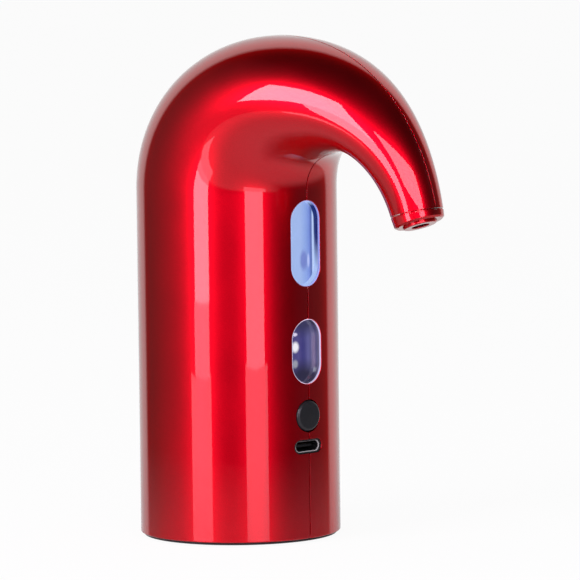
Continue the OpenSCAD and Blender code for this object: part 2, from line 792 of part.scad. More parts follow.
module main_board() {
    color(green) difference() {
        translate([board_back, -board_half_w, board_bottom])
            cube([board_t, 2 * board_half_w, board_top - board_bottom]);
        for (s = [1, -1]) rod_x(hole_r, board_back - 1, board_front + 1, s * board_screw_y, board_screw_z);
    }
}

module board_chips() {
    color(black) {
        translate([board_back - chip_t, -5.4, manifold_z + 2]) cube([chip_t, 4, 4]);
        translate([board_back - chip_t, 1.6, manifold_z + 2]) cube([chip_t, 3, 4]);
        translate([board_back - chip_t, -2, board_bottom + 1]) cube([chip_t, 4, 2]);
    }
}

module board_screws() {
    color(steel) for (s = [1, -1]) translate([board_front, s * board_screw_y, board_screw_z])
        rotate([0, -90, 0])
        screw(board_t + 5, screw_r + 0.5);
}

module usb_shell() {
    color(steel) difference() {
        translate([board_front, 0, usb_z]) rotate([90, 0, 90]) linear_extrude(usb_l) rotate(90)
            stadium(usb_h, usb_w);
        translate([board_front - 1, 0, usb_z]) rotate([90, 0, 90]) linear_extrude(usb_l + 2) rotate(90)
            stadium(usb_h - 2 * usb_metal, usb_w - 2 * usb_metal);
    }
}

module usb_tongue() {
    inset = usb_metal + bond;
    color(black) {
        translate([board_front, 0, usb_z]) rotate([90, 0, 90]) linear_extrude(1.4) rotate(90)
            stadium(usb_h - 2 * inset, usb_w - 2 * inset);
        translate([board_front + 1, -3.3, usb_z - 0.35]) cube([usb_l - 1.8, 6.6, 0.7]);
    }
}

module chassis() {
    color(grey) difference() {
        union() {
            intersection() {
                translate([0, 0, deck_z]) cylinder(r = deck_r, h = deck_t);
                translate([-body_r, -body_r, deck_z - 1])
                    cube([body_r + deck_front, 2 * body_r, deck_t + 2]);
            }
            for (a = column_angles) at_angle(column_at, a) translate([0, 0, deck_top - 0.5])
                cylinder(r = column_r, h = clamp_z - deck_top + 0.5);
            intersection() {
                translate([cell_x, cell_y, 0])
                    ring(cell_r + 1.3, cell_r + 0.15, deck_top - 0.5, deck_top + 6);
                translate([0, 0, deck_z]) cylinder(r = deck_r, h = 2 * deck_t + 6);
            }
            for (s = [1, -1]) translate([deck_front - 6, s * board_screw_y - 2.5, deck_z - 1])
                cube([6, 5, 2]);
        }
        translate([chamber_x, 0, deck_z - 3]) cylinder(r = wine_or + 0.7, h = deck_t + 6);
        translate([chamber_x, -wine_or - 0.7, deck_z - 3]) cube([body_r, 2 * wine_or + 1.4, deck_t + 6]);
        translate([air_drop[0], air_drop[1], deck_z - 1]) cylinder(r = air_or + 0.9, h = deck_t + 2);
        translate([cell_x, cell_y, deck_z - 1]) cylinder(r = 3, h = deck_t + 2);
        translate([cell_x + 1, -cell_y, deck_z - 1]) cylinder(r = 2.6, h = deck_t + 2);
        for (a = post_angles) at_angle(post_at, a) {
            translate([0, 0, deck_z - 2]) cylinder(r = hole_r, h = deck_t + 4);
            translate([0, 0, deck_top - head_h - 0.1]) cylinder(r = head_r + fit, h = head_h + 4);
        }
        for (a = column_angles) at_angle(column_at, a) translate([0, 0, clamp_z - 8])
            cylinder(r = thread_r, h = 9);
        for (s = [1, -1]) rod_x(thread_r, deck_front - 5.5, deck_front + 1, s * board_screw_y, board_screw_z);
    }
}

module chassis_screws() {
    color(steel) for (a = post_angles) at_angle(post_at, a)
        translate([0, 0, deck_top - head_h - 0.1]) rotate([180, 0, 0]) screw(8, head_r);
}

module clamp_arm(x, y, r) {
    reach = norm([x - pump_x, y]);
    translate([pump_x, 0, clamp_z]) rotate([0, 0, atan2(y, x - pump_x)]) translate([motor_r + 1, -2, 0])
        cube([reach - motor_r - 1, 4, clamp_t]);
    translate([x, y, clamp_z]) cylinder(r = r, h = clamp_t);
}

module top_clamp() {
    color(grey) difference() {
        union() {
            translate([pump_x, 0, clamp_z]) cylinder(r = motor_r + 2.2, h = clamp_t);
            for (a = column_angles) clamp_arm(column_at * cos(a), column_at * sin(a), column_r + 0.8);
            clamp_arm(cell_x, cell_y, cell_r - 1.6);
        }
        translate([pump_x, 0, clamp_z - 1]) cylinder(r = motor_r + fit, h = clamp_t + 2);
        for (a = column_angles) at_angle(column_at, a) translate([0, 0, clamp_z - 1])
            cylinder(r = hole_r, h = clamp_t + 2);
    }
}

module clamp_screws() {
    color(steel) for (a = column_angles) at_angle(column_at, a)
        translate([0, 0, clamp_z + clamp_t]) rotate([180, 0, 0]) screw(clamp_t + 6, head_r);
}

module pump_pad() {
    color(black) translate([pump_x, 0, deck_top]) cylinder(r = pad_r, h = pad_t);
}

module cell() {
    color([0.1, 0.25, 0.55]) translate([cell_x, cell_y, deck_top]) union() {
        cylinder(r = cell_r, h = cell_l - 1.2);
        cylinder(r = cell_r - 3, h = cell_l);
    }
}

module leads() {
    r = 0.55;
    gap = 1.3;
    plug = board_back - 0.15;
    top = pump_z + motor_l + terminal_l;
    down = [cell_x + 1, -cell_y, 0];
    color([0.7, 0.05, 0.05]) for (s = [1, -1]) {
        wire(smooth([[cell_x, cell_y + s * gap, deck_top - 0.15], [cell_x, cell_y + s * gap, deck_top - 2],
            [cell_x + 0.6, cell_y + s * gap, deck_z - 1], [cell_x + 4, cell_y - 2 + s * gap, deck_z - 5],
            [plug - 2.4, board_screw_y + s * gap, deck_z - 6.5],
                [plug - 1.2, board_screw_y + s * gap, deck_z - 6.5],
            [plug, board_screw_y + s * gap, deck_z - 6.5]], 4),
            [0, 1, 0], r);
        wire(smooth([[pump_x, s * terminal_at, top + 0.3], [pump_x, s * terminal_at, top + 1.5],
            [pump_x + 5, s * terminal_at * 0.7 - 2, top + 4], [down[0] - 3, down[1] + 3 + s * gap, top - 2],
            [down[0], down[1] + s * gap, clamp_z - 8], [down[0], down[1] + s * gap, deck_top + 12],
            [down[0], down[1] + s * gap, deck_top + 1], [down[0], down[1] + s * gap, deck_z - 2],
            [plug - 2.4, -board_screw_y + s * gap, deck_z - 6.5],
                [plug - 1.2, -board_screw_y + s * gap, deck_z - 6.5],
            [plug, -board_screw_y + s * gap, deck_z - 6.5]], 4),
            [0, 1, 0], r);
        translate([board_back + 0.3, 5.6 + s * gap, board_top + bond])
            cylinder(r = r / 2, h = light_z - light_h / 2 - holder_rim - board_top - 2 * bond);
    }
}

module motor_can() {
    color(steel) pump_place() difference() {
        rotate_extrude() polygon([[bush_r, 1.6], [3.2, 1.6], [3.2, 0], [motor_r, 0], [motor_r, -motor_l],
            [motor_r - motor_wall, -motor_l], [motor_r - motor_wall, -1], [bush_r, -1]]);
        for (s = [1, -1]) translate([s * motor_screw_at, 0, -2]) cylinder(r = thread_r, h = 3);
    }
}

module motor_end_cap() {
    color(black) pump_place() rotate_extrude() polygon([[bush_r, -motor_l - 1.2], [4, -motor_l - 1.2],
        [4, -motor_l], [motor_r - motor_wall - bond, -motor_l],
            [motor_r - motor_wall - bond, 2.6 - motor_l],
        [bush_r, 2.6 - motor_l]]);
}

module motor_bushes() {
    color(bronze) pump_place() {
        ring(bush_r - press, shaft_r + run, -0.9, 1.5);
        ring(bush_r - press, shaft_r + run, -motor_l - 1.1, 2.4 - motor_l);
    }
}

module motor_magnets() {
    color(ferrite) pump_place() for (a = [0, 180]) rotate([0, 0, a]) rotate_extrude(angle = 120)
        translate([magnet_r, armature_low - 0.5 - motor_l])
        square([motor_r - motor_wall - bond - magnet_r, motor_l - armature_low - armature_high + 1]);
}

module motor_contacts() {
    color(copper) pump_place() for (s = [1, -1]) {
        translate([-0.8, s > 0 ? 2.75 : -6.5, 2.6 - motor_l]) cube([1.6, 3.75, 1.9]);
        translate([-1, s * terminal_at - 0.25, -motor_l - terminal_l]) cube([2, 0.5, terminal_l]);
    }
}

module motor_screws() {
    color(steel) pump_place() for (s = [1, -1]) translate([s * motor_screw_at, 0, case_floor])
        rotate([180, 0, 0])
        screw(case_floor + 2.4, screw_r + 0.7);
}

module motor_shaft() {
    color(steel) pump_place() translate([0, 0, -motor_l - 1.8])
        cylinder(r = shaft_r, h = motor_l + 1.8 + eccentric_z + shaft_set);
}

module armature_core() {
    color(grey) pump_place() difference() {
        ring(armature_r, shaft_r + press, armature_low - motor_l, -armature_high);
        for (a = [0, 120, 240]) rotate([0, 0, a]) translate([slot_at, -slot_w / 2, -motor_l])
            cube([armature_r, slot_w, motor_l]);
    }
}

module armature_windings() {
    low = armature_low - winding_gap - motor_l;
    high = winding_gap - armature_high;
    r_out = armature_r - 0.6;
    r_in = shaft_r + 1.4;
    coil_w = slot_w - 2 * winding_gap;
    color(copper) pump_place() union() {
        ring(r_out, r_in, low - winding_t, low);
        ring(r_out, r_in, high, high + winding_t);
        for (a = [0, 120, 240]) rotate([0, 0, a])
            translate([slot_at + winding_gap, -coil_w / 2, low - winding_t / 2])
            cube([armature_r - slot_at - 1, coil_w, high - low + winding_t]);
    }
}

module commutator() {
    color(copper) pump_place() ring(2.6, shaft_r + press, 3 - motor_l, 5.3 - motor_l);
}

module on_wobble_axis() {
    translate([0, 0, wobble_o]) rotate([0, -wobble_tilt, 0]) children();
}

module eccentric() {
    color(steel) pump_place() difference() {
        union() {
            translate([0, 0, eccentric_z]) cylinder(r = eccentric_r, h = eccentric_h);
            on_wobble_axis() translate([0, 0, -wobble_hub_l - wobble_pin_set])
                cylinder(r = wobble_pin_r, h = wobble_pin_l);
        }
        translate([0, 0, eccentric_z - 1]) cylinder(r = shaft_r + press, h = shaft_set + 1.1);
    }
}

module crankcase() {
    color(black) pump_place() difference() {
        union() {
            rotate_extrude() polygon([[3.3, 0.05], [pump_r, 0.05], [pump_r, case_h],
                [pump_r - case_wall, case_h],
                [pump_r - case_wall, case_floor], [3.3, case_floor]]);
            for (a = pump_arms) at_angle(pump_screw_at, a + pump_turn + pump_screw_turn)
                translate([0, 0, 1])
                cylinder(r = pump_post_r, h = case_h - 1);
        }
        for (a = pump_arms) at_angle(pump_screw_at, a + pump_turn + pump_screw_turn) translate([0, 0, 5])
            cylinder(r = thread_r, h = case_h);
        for (s = [1, -1]) translate([s * motor_screw_at, 0, -1]) cylinder(r = hole_r, h = case_floor + 2);
        translate([0, 0, case_h / 2]) rotate([0, 90, -pump_turn]) cylinder(r = 1, h = pump_r + 1);
    }
}

module wobble_plate() {
    color(white) pump_place() on_wobble_axis() difference() {
        union() {
            translate([0, 0, -wobble_hub_l]) cylinder(r = 2.6, h = wobble_hub_l - 0.8);
            for (a = pump_arms) rotate([0, 0, a + pump_turn]) {
                translate([0, -1.2, -2.6]) cube([wobble_arm_at, 2.4, 1.8]);
                translate([wobble_arm_at, 0, -2.6]) cylinder(r = wobble_pad_r, h = 1.8);
            }
        }
        translate([0, 0, -wobble_hub_l - 1])
            cylinder(r = wobble_pin_r + run, h = 1.4 + wobble_pin_l - wobble_pin_set);
        for (a = pump_arms) rotate([0, 0, a + pump_turn]) translate([wobble_arm_at, 0, -4])
            cylinder(r = wobble_pad_hole_r, h = 5);
    }
}

module pump_screw_holes() {
    for (a = pump_arms) at_angle(pump_screw_at, a + pump_turn + pump_screw_turn)
        translate([0, 0, case_h - 1])
        cylinder(r = hole_r, h = pump_h);
}

module diaphragm() {
    color(black) pump_place() difference() {
        union() {
            translate([0, 0, case_h]) cylinder(r = pump_r - 0.2, h = sheet_t);
            for (a = pump_arms) at_angle(wobble_arm_at, a + pump_turn) translate([0, 0, case_h - 4])
                cylinder(r = stalk_r, h = 4.5);
        }
        pump_screw_holes();
    }
}

module valve_plate() {
    z = case_h + sheet_t;
    color(grey) pump_place() difference() {
        translate([0, 0, z]) cylinder(r = pump_r, h = valve_plate_t);
        for (a = pump_arms) rotate([0, 0, a + pump_turn]) {
            translate([wobble_arm_at, 0, z - 1]) cylinder(r = 3.2, h = 2);
            translate([wobble_arm_at - 1, 0, z]) cylinder(r = 0.5, h = valve_plate_t + 1);
            translate([wobble_arm_at + 1, 0, z]) cylinder(r = 0.5, h = valve_plate_t + 1);
        }
        pump_screw_holes();
    }
}

module valve_flaps() {
    color(black) pump_place() for (a = pump_arms) at_angle(wobble_arm_at - 1, a + pump_turn)
        translate([0, 0, case_h + sheet_t + valve_plate_t]) cylinder(r = 1.7, h = 0.4);
}

module pump_head() {
    z = case_h + sheet_t + valve_plate_t;
    color(black) pump_place() difference() {
        union() {
            translate([0, 0, z]) cylinder(r = pump_r, h = head_len);
            translate([0, 0, nipple_h]) rotate([0, 90, nipple_turn]) translate([0, 0, pump_r - 2])
                cylinder(r = air_barb_r, h = nipple_l + 2);
        }
        translate([0, 0, z - 1]) cylinder(r = pump_screw_at - 2.2, h = head_len - 0.2);
        translate([0, 0, nipple_h]) rotate([0, 90, nipple_turn])
            cylinder(r = air_barb_r - 0.5, h = pump_r + nipple_l + 1);
        pump_screw_holes();
    }
}

module pump_screws() {
    color(steel) pump_place() for (a = pump_arms) at_angle(pump_screw_at, a + pump_turn + pump_screw_turn)
        translate([0, 0, pump_h]) rotate([180, 0, 0]) screw(pump_h - 5.5, head_r);
}

shell_left();
shell_right();
base_cover();
base_screws();
foot_ring();
stopper_core();
bottle_seal();
manifold();
manifold_gasket();
manifold_screws();
air_valve();
wine_hose_lower();
aeration_chamber();
aeration_jet();
wine_hose_upper();
nozzle_collar();
nozzle_insert();
air_hose();
light_window();
light_box();
light_diffuser();
light_board();
light_leds();
sight_window();
sight_bezel();
sight_led();
button_cap();
switch_body();
switch_stem();
main_board();
board_chips();
board_screws();
usb_shell();
usb_tongue();
chassis();
chassis_screws();
top_clamp();
clamp_screws();
pump_pad();
cell();
leads();
motor_can();
motor_end_cap();
motor_bushes();
motor_magnets();
motor_contacts();
motor_screws();
motor_shaft();
armature_core();
armature_windings();
commutator();
eccentric();
crankcase();
wobble_plate();
diaphragm();
valve_plate();
valve_flaps();
pump_head();
pump_screws();
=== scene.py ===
"""Electric wine aerator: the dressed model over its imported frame, with a small studio round it.

Shapes are worked out in millimetres in the part's own frame and become metres when a mesh is made.
"""
import logging
from dataclasses import dataclass
from enum import Enum

import bpy
import numpy as np
from mathutils import Matrix, Vector


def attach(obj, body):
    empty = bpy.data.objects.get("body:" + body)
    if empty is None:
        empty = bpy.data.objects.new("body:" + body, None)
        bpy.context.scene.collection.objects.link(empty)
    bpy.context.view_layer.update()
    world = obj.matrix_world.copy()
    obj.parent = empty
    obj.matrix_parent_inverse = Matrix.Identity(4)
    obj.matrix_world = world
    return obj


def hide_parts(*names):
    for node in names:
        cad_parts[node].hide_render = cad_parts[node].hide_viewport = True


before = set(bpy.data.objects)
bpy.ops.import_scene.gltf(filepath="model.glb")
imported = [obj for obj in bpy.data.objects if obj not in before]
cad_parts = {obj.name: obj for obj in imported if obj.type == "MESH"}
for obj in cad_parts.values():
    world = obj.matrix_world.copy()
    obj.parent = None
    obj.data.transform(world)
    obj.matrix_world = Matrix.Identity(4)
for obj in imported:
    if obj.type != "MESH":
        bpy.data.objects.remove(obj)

logging.basicConfig(level=logging.INFO, format="%(message)s")
LOG = logging.getLogger("aerator")
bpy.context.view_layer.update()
MM = 0.001
WHITE = (1.0, 1.0, 1.0, 1.0)
NOISE_SPAN = (0.3, 0.7)
Array = np.ndarray
Pair = tuple[float, float]
Point = tuple[float, float, float]
Colour = tuple[float, float, float]
Rounds = float | tuple[float, ...]
Material = bpy.types.Material
Socket = bpy.types.NodeSocket


# Surfaces

def unit(v: Array) -> Array:
    """Vectors of length one along v."""
    return v / np.linalg.norm(v, axis=-1, keepdims=True)


def added(name: str, data: bpy.types.ID) -> bpy.types.Object:
    """Put a new object into the scene.

    Args:
        name: its name.
        data: the mesh, light or camera that it holds.
    Returns:
        The object.
    """
    made = bpy.data.objects.new(name, data)
    bpy.context.scene.collection.objects.link(made)
    return made


def grid_quads(rows: int, cols: int, closed: bool) -> Array:
    """Quads of a grid of points numbered row by row.

    Args:
        rows: the number of rows.
        cols: the number of columns.
        closed: whether the last column joins the first.
    Returns:
        Four point numbers for each quad.
    """
    index = np.arange(rows * cols).reshape(rows, cols)
    left = index if closed else index[:, :-1]
    right = np.roll(index, -1, axis=1) if closed else index[:, 1:]
    return np.stack([left[:-1], right[:-1], right[1:], left[1:]], axis=-1).reshape(-1, 4)


@dataclass
class Surface:
    """Points, outward normals and quads of a shape, in millimetres.

    Attributes:
        points: one row of x, y, z for each point.
        normals: the outward direction at each point.
        faces: four point numbers for each quad.
        marks: a number for each point that a finish may read.
    """

    points: Array
    normals: Array
    faces: Array
    marks: Array | None = None

    @staticmethod
    def grid(points: Array, normals: Array, closed: bool = False) -> "Surface":
        """A surface through rows and columns of points, whose last column may join the first."""
        return Surface(points.reshape(-1, 3), normals.reshape(-1, 3), grid_quads(*points.shape[:2], closed))

    @staticmethod
    def joined(parts: list["Surface"]) -> "Surface":
        """Put several surfaces into one without merging their points.

        Args:
            parts: the surfaces.
        Returns:
            One surface with all their points and quads.
        """
        starts = np.cumsum([0] + [len(p.points) for p in parts[:-1]])
        return Surface(np.concatenate([p.points for p in parts]), np.concatenate([p.normals for p in parts]),
                       np.concatenate([p.faces + s for p, s in zip(parts, starts)]))

    def mirrored(self) -> "Surface":
        """The same surface on the other side of the plane y = 0."""
        flip = np.array([1.0, -1.0, 1.0])
        return Surface(self.points * flip, self.normals * flip, self.faces[:, ::-1])

    def welded(self, step: float = 0.001) -> "Surface":
        """Merge points that agree to within a step, and turn every quad to face along its normals.

        Args:
            step: the size of the merging grid.
        Returns:
            The merged surface, whose quads may repeat a point at a pole.
        """
        keys = np.rint(self.points / step).astype(np.int64)
        _, first, back = np.unique(keys, axis=0, return_index=True, return_inverse=True)
        points, normals, faces = self.points[first], self.normals[first], back.reshape(-1)[self.faces]
        corner = points[faces]
        lean = np.cross(corner[:, 2] - corner[:, 0], corner[:, 3] - corner[:, 1])
        wrong = (lean * normals[faces].sum(axis=1)).sum(axis=1) < 0
        return Surface(points, normals, np.where(wrong[:, None], faces[:, ::-1], faces))

    def polygons(self) -> list[list[int]]:
        """Quads, and triangles where a quad repeats a point.

        Returns:
            The lists of point numbers that a mesh takes.
        """
        same = self.faces == np.roll(self.faces, -1, axis=1)
        count = same.sum(axis=1)
        made = self.faces[count == 0].tolist()
        for k in range(4):
            made += np.delete(self.faces[(count == 1) & same[:, k]], k, axis=1).tolist()
        return made

    def piece(self, name: str, slot: str, material: Material, stands_for: str = "",
              body: str = "housing") -> None:
        """Make the mesh object, dress it and let it ride on a body.

        Args:
            name: the piece's name.
            slot: the record's material slot; not used.
            material: its finish.
            stands_for: the frame's node that it replaces, if any.
            body: the body that it rides on.
        """
        used, back = np.unique(self.faces, return_inverse=True)
        kept = Surface(self.points[used], self.normals[used], back.reshape(self.faces.shape))
        mesh = bpy.data.meshes.new(name)
        mesh.from_pydata((kept.points * MM).tolist(), [], kept.polygons())
        mesh.polygons.foreach_set("use_smooth", np.ones(len(mesh.polygons), dtype=bool))
        mesh.normals_split_custom_set_from_vertices(kept.normals.tolist())
        if self.marks is not None:
            mark = mesh.attributes.new("mark", "FLOAT", "POINT")
            mark.data.foreach_set("value", self.marks[used].astype(np.float32))
        mesh.materials.append(material)
        made = added(name, mesh)
        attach(made, body)
        if stands_for:
            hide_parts(stands_for)
        LOG.info("%s: %d points, %d faces, on %s", name, len(mesh.vertices), len(mesh.polygons), body)


def ring_section(near: float, far: float, low: float, high: float) -> list[Pair]:
    """Corners of a hollow ring's section, from the middle of its low side round to there again."""
    middle = (near + far) / 2
    return [(middle, low), (far, low), (far, high), (near, high), (near, low), (middle, low)]


def solid_section(radius: float, low: float, high: float) -> list[Pair]:
    """Corners of a solid's section, from the middle of its low end to the middle of its high end."""
    return [(0.0, low), (radius, low), (radius, high), (0.0, high)]


def rounded(corners: list[Pair], radius: Rounds, steps: int = 5, longest: float = 2.0,
            side_share: float = 0.48) -> tuple[Array, Array]:
    """Round the corners of an open profile, with the solid on the left of the way along it.

    Each inner corner becomes an arc that touches both its sides at radius * tan(half the turn) from it, and
    the normal turns along the arc from one side's right-hand direction to the next one's. Points are added
    so that no stretch is longer than the given length.

    Args:
        corners: the profile's corners.
        radius: the arcs' radius, or one for each inner corner.
        steps: the number of points on an arc.
        longest: the longest stretch between two points.
        side_share: the largest share of a side that an arc takes.
    Returns:
        The profile's points and their normals.
    """
    p = np.asarray(corners, float)
    d = unit(np.diff(p, axis=0))
    turn = np.arctan2(d[:-1, 0] * d[1:, 1] - d[:-1, 1] * d[1:, 0], (d[:-1] * d[1:]).sum(axis=1))
    size = np.broadcast_to(np.asarray(radius, float), turn.shape)
    side = np.linalg.norm(np.diff(p, axis=0), axis=1)
    reach = np.minimum(size * np.tan(np.abs(turn) / 2), side_share * np.minimum(side[:-1], side[1:]))
    size = reach / np.maximum(np.tan(np.abs(turn) / 2), 1e-9)
    right = np.stack([d[:, 1], -d[:, 0]], axis=1)
    sign = np.sign(turn)[:, None]
    middle = p[1:-1] - reach[:, None] * d[:-1] - sign * size[:, None] * right[:-1]
    angle = turn[:, None] * np.linspace(0, 1, steps)[None]
    cos, sin = np.cos(angle)[..., None], np.sin(angle)[..., None]
    way = right[:-1, None, :]
    normal = cos * way + sin * np.stack([-way[..., 1], way[..., 0]], axis=-1)
    arcs = middle[:, None, :] + (sign * size[:, None])[:, None, :] * normal
    points = np.concatenate([p[:1], arcs.reshape(-1, 2), p[-1:]])
    normals = np.concatenate([right[:1], normal.reshape(-1, 2), right[-1:]])
    length = np.concatenate([[0], np.cumsum(np.linalg.norm(np.diff(points, axis=0), axis=1))])
    keep = np.concatenate([[True], np.diff(length) > 1e-7])
    points, normals, length = points[keep], normals[keep], length[keep]
    stops = np.unique(np.concatenate([length, np.arange(0, length[-1], longest)]).round(6))
    points, normals = (np.stack([np.interp(stops, length, a[:, k]) for k in (0, 1)], axis=1)
                       for a in (points, normals))
    return points, unit(normals)


@dataclass(frozen=True)
class Loop:
    """A closed outline: P(u) = base(u) + d * out(u), where d is the distance from the base line.

    Attributes:
        base: the base line's points.
        out: the unit direction away from the base line at each of them.
        axis: the unit direction square to the outline.
    """

    base: Array
    out: Array
    axis: Array

    @staticmethod
    def circle(origin: Point, axis: Point | Array, count: int = 96) -> "Loop":
        """A circle about an axis, whose base line is the axis' own point.

        Args:
            origin: a point on the axis.
            axis: the axis' direction.
            count: the number of points round it.
        Returns:
            The outline.
        """
        a = unit(np.asarray(axis, float))
        first = unit(np.cross(a, [0.0, 1.0, 0.0] if abs(a[1]) < 0.9 else [1.0, 0.0, 0.0]))
        t = np.linspace(0, 2 * np.pi, count, endpoint=False)[:, None]
        out = np.cos(t) * first + np.sin(t) * np.cross(a, first)
        return Loop(np.broadcast_to(np.asarray(origin, float), out.shape), out, a)

    @staticmethod
    def stadium(middle_z: float, half_y: float, half_z: float, arc: int = 24, straight: int = 12) -> "Loop":
        """A stadium in a plane square to X: a straight base line with a round end at either side.

        Args:
            middle_z: the height of its middle.
            half_y: half the base line's length along Y.
            half_z: half the base line's length along Z.
            arc: the number of points on a quarter turn.
            straight: the number of points on a straight side.
        Returns:
            The outline, with X as its axis.
        """
        axis = np.array([1.0, 0.0, 0.0])
        way = np.array([0.0, 0.0, 1.0] if half_z >= half_y else [0.0, 1.0, 0.0])
        end = np.linspace(-90, 90, 2 * arc, endpoint=False)
        level = np.linspace(1, -1, straight, endpoint=False)
        turn = np.concatenate([end, np.full(straight, 90.0), end + 180, np.full(straight, 270.0)])
        t = np.radians(turn)[:, None]
        share = np.concatenate([np.ones(2 * arc), level, -np.ones(2 * arc), -level])[:, None]
        base = np.array([0.0, 0.0, middle_z]) + share * max(half_y, half_z) * way
        return Loop(base, np.cos(t) * way + np.sin(t) * np.cross(axis, way), axis)

    def swept(self, profile: tuple[Array, Array], wrapped: bool = False) -> Surface:
        """Carry a profile of distance and height round the outline.

        P(u, v) = base(u) + d(v) out(u) + h(v) axis. Where it is wrapped, the height is a radius about the Z
        axis, and x = sqrt(h^2 - y^2).

        Args:
            profile: the profile's points and normals, as distance and height.
            wrapped: whether the height is a radius about the Z axis.
        Returns:
            The closed surface.
        """
        (d, h), (nd, nh) = profile[0].T[..., None, None], profile[1].T[..., None, None]
        points = self.base[None] + d * self.out[None] + h * self.axis
        lift = np.broadcast_to(self.axis, points.shape)
        if wrapped:
            y = points[..., 1]
            x = np.sqrt(np.maximum(points[..., 0] ** 2 - y ** 2, 0))
            lift = np.stack([x, y, 0 * y], axis=-1) / points[..., :1]
            points = np.stack([x, y, points[..., 2]], axis=-1)
        return Surface.grid(points, unit(nd * self.out[None] + nh * lift), True).welded()


# Finishes

class Graph:
    """One node tree in the making."""

    def __init__(self, owner: Material | bpy.types.World) -> None:
        """Start an empty tree with its output and its coordinates.

        Args:
            owner: the material or world that holds the tree.
        """
        owner.use_nodes = True
        self.tree = owner.node_tree
        self.tree.nodes.clear()
        sky = isinstance(owner, bpy.types.World)
        end = self.node("ShaderNodeOutputWorld" if sky else "ShaderNodeOutputMaterial")
        self.output = end.inputs["Surface"]
        self.place = self.node("ShaderNodeTexCoord").outputs["Generated" if sky else "Object"]

    def link(self, source: Socket, target: Socket) -> None:
        """Join two sockets."""
        self.tree.links.new(source, target)

    def node(self, kind: str, settings: dict | None = None, inputs: dict | None = None) -> bpy.types.Node:
        """Add a node.

        Args:
            kind: the node's type.
            settings: its properties.
            inputs: constants or other nodes' sockets for its inputs.
        Returns:
            The node.
        """
        made = self.tree.nodes.new(kind)
        for name, value in (settings or {}).items():
            setattr(made, name, value)
        for name, value in (inputs or {}).items():
            if isinstance(value, Socket):
                self.link(value, made.inputs[name])
            else:
                made.inputs[name].default_value = value
        return made

    def math(self, operation: str, *values: Socket | float) -> Socket:
        """Work out a number from others."""
        return self.node("ShaderNodeMath", {"operation": operation}, dict(enumerate(values))).outputs[0]

    def vector(self, operation: str, *values: Socket | Point) -> bpy.types.Node:
        """Work out a vector or a number from vectors."""
        return self.node("ShaderNodeVectorMath", {"operation": operation}, dict(enumerate(values)))

    def fit(self, value: Socket, start: float, end: float, low: float = 0.0, high: float = 1.0) -> Socket:
        """Map a value so that start becomes low and end becomes high."""
        span = {"Value": value, "From Min": start, "From Max": end, "To Min": low, "To Max": high}
        return self.node("ShaderNodeMapRange", inputs=span).outputs[0]

    def axis(self, letter: str) -> Socket:
        """One of the place's coordinates."""
        return self.node("ShaderNodeSeparateXYZ", inputs={0: self.place}).outputs[letter]

    def length(self, value: Socket) -> Socket:
        """How long a vector is."""
        return self.vector("LENGTH", value).outputs["Value"]

    def mark(self) -> Socket:
        """The number that a piece's points carry."""
        return self.node("ShaderNodeAttribute", {"attribute_name": "mark"}).outputs["Fac"]

    def noise(self, scale: float, detail: float = 3.0, stretch: Point = (1.0, 1.0, 1.0)) -> Socket:
        """Smooth noise with so many features to the metre, times a factor along each axis."""
        place = self.node("ShaderNodeMapping", inputs={"Vector": self.place, "Scale": stretch}).outputs[0]
        return self.node("ShaderNodeTexNoise", inputs={
            "Vector": place, "Scale": scale, "Detail": detail}).outputs[0]

    def ramp(self, value: Socket, stops: list[tuple[float, Colour]]) -> Socket:
        """Colours along a value.

        Args:
            value: the value from 0 to 1.
            stops: places and their colours.
        Returns:
            The colour.
        """
        made = self.node("ShaderNodeValToRGB", inputs={"Fac": value})
        items = made.color_ramp.elements
        items.remove(items[1])
        items[0].position, items[0].color = stops[0][0], (*stops[0][1], 1.0)
        for place, colour in stops[1:]:
            items.new(place).color = (*colour, 1.0)
        return made.outputs["Color"]

    def tones(self, noise: Socket, low: Colour, high: Colour) -> Socket:
        """A colour that noise takes from one to another."""
        return self.ramp(noise, list(zip(NOISE_SPAN, (low, high))))

    def spread(self, noise: Socket, low: float, high: float) -> Socket:
        """A number that noise takes from one to another."""
        return self.fit(noise, *NOISE_SPAN, low, high)

    def blend(self, share: Socket, first: Socket, second: Colour) -> Socket:
        """Go from one colour to another by a share."""
        mix = self.node("ShaderNodeMix", {"data_type": "RGBA"}, {0: share, 6: first, 7: (*second, 1.0)})
        return mix.outputs[2]

    def mixed(self, share: Socket, first: Socket, second: Socket) -> Socket:
        """Go from one shader to another by a share."""
        return self.node("ShaderNodeMixShader", inputs={0: share, 1: first, 2: second}).outputs[0]


class Look(Graph):
    """A material round one Principled shader."""

    def __init__(self, name: str) -> None:
        """Start the material.

        Args:
            name: the material's name.
        """
        self.material = bpy.data.materials.new(name)
        super().__init__(self.material)
        self.shader = self.node("ShaderNodeBsdfPrincipled")
        self.link(self.shader.outputs[0], self.output)

    def set(self, **values: Socket | float | Colour) -> None:
        """Set or link the shader's sockets.

        Args:
            values: constants or other nodes' sockets, by the sockets' names written with underscores.
        """
        for name, value in values.items():
            socket = self.shader.inputs[name.replace("_", " ")]
            if isinstance(value, Socket):
                self.link(value, socket)
            else:
                whole = isinstance(value, tuple) and len(socket.default_value) == 4
                socket.default_value = (*value, 1.0) if whole else value

    def bump(self, value: Socket, depth: float, socket: str = "Normal") -> None:
        """Raise the surface by a value.

        Args:
            value: the height's pattern.
            depth: the height in millimetres.
            socket: the shader's socket, which is Normal or Coat Normal.
        """
        made = self.node("ShaderNodeBump", inputs={"Height": value, "Strength": 1.0, "Distance": depth * MM})
        self.link(made.outputs[0], self.shader.inputs[socket])


def shade(colour: Colour, factor: float) -> Colour:
    """A colour made darker or lighter."""
    return tuple(min(c * factor, 1.0) for c in colour)


class Finish:
    """A finish that makes its own material."""

    name: str

    def dress(self, g: Look) -> None:
        """Set up the shader of a new material."""
        raise NotImplementedError(self.name)

    def material(self) -> Material:
        """Make the material.

        Returns:
            The material, named after the finish.
        """
        g = Look(self.name)
        self.dress(g)
        return g.material


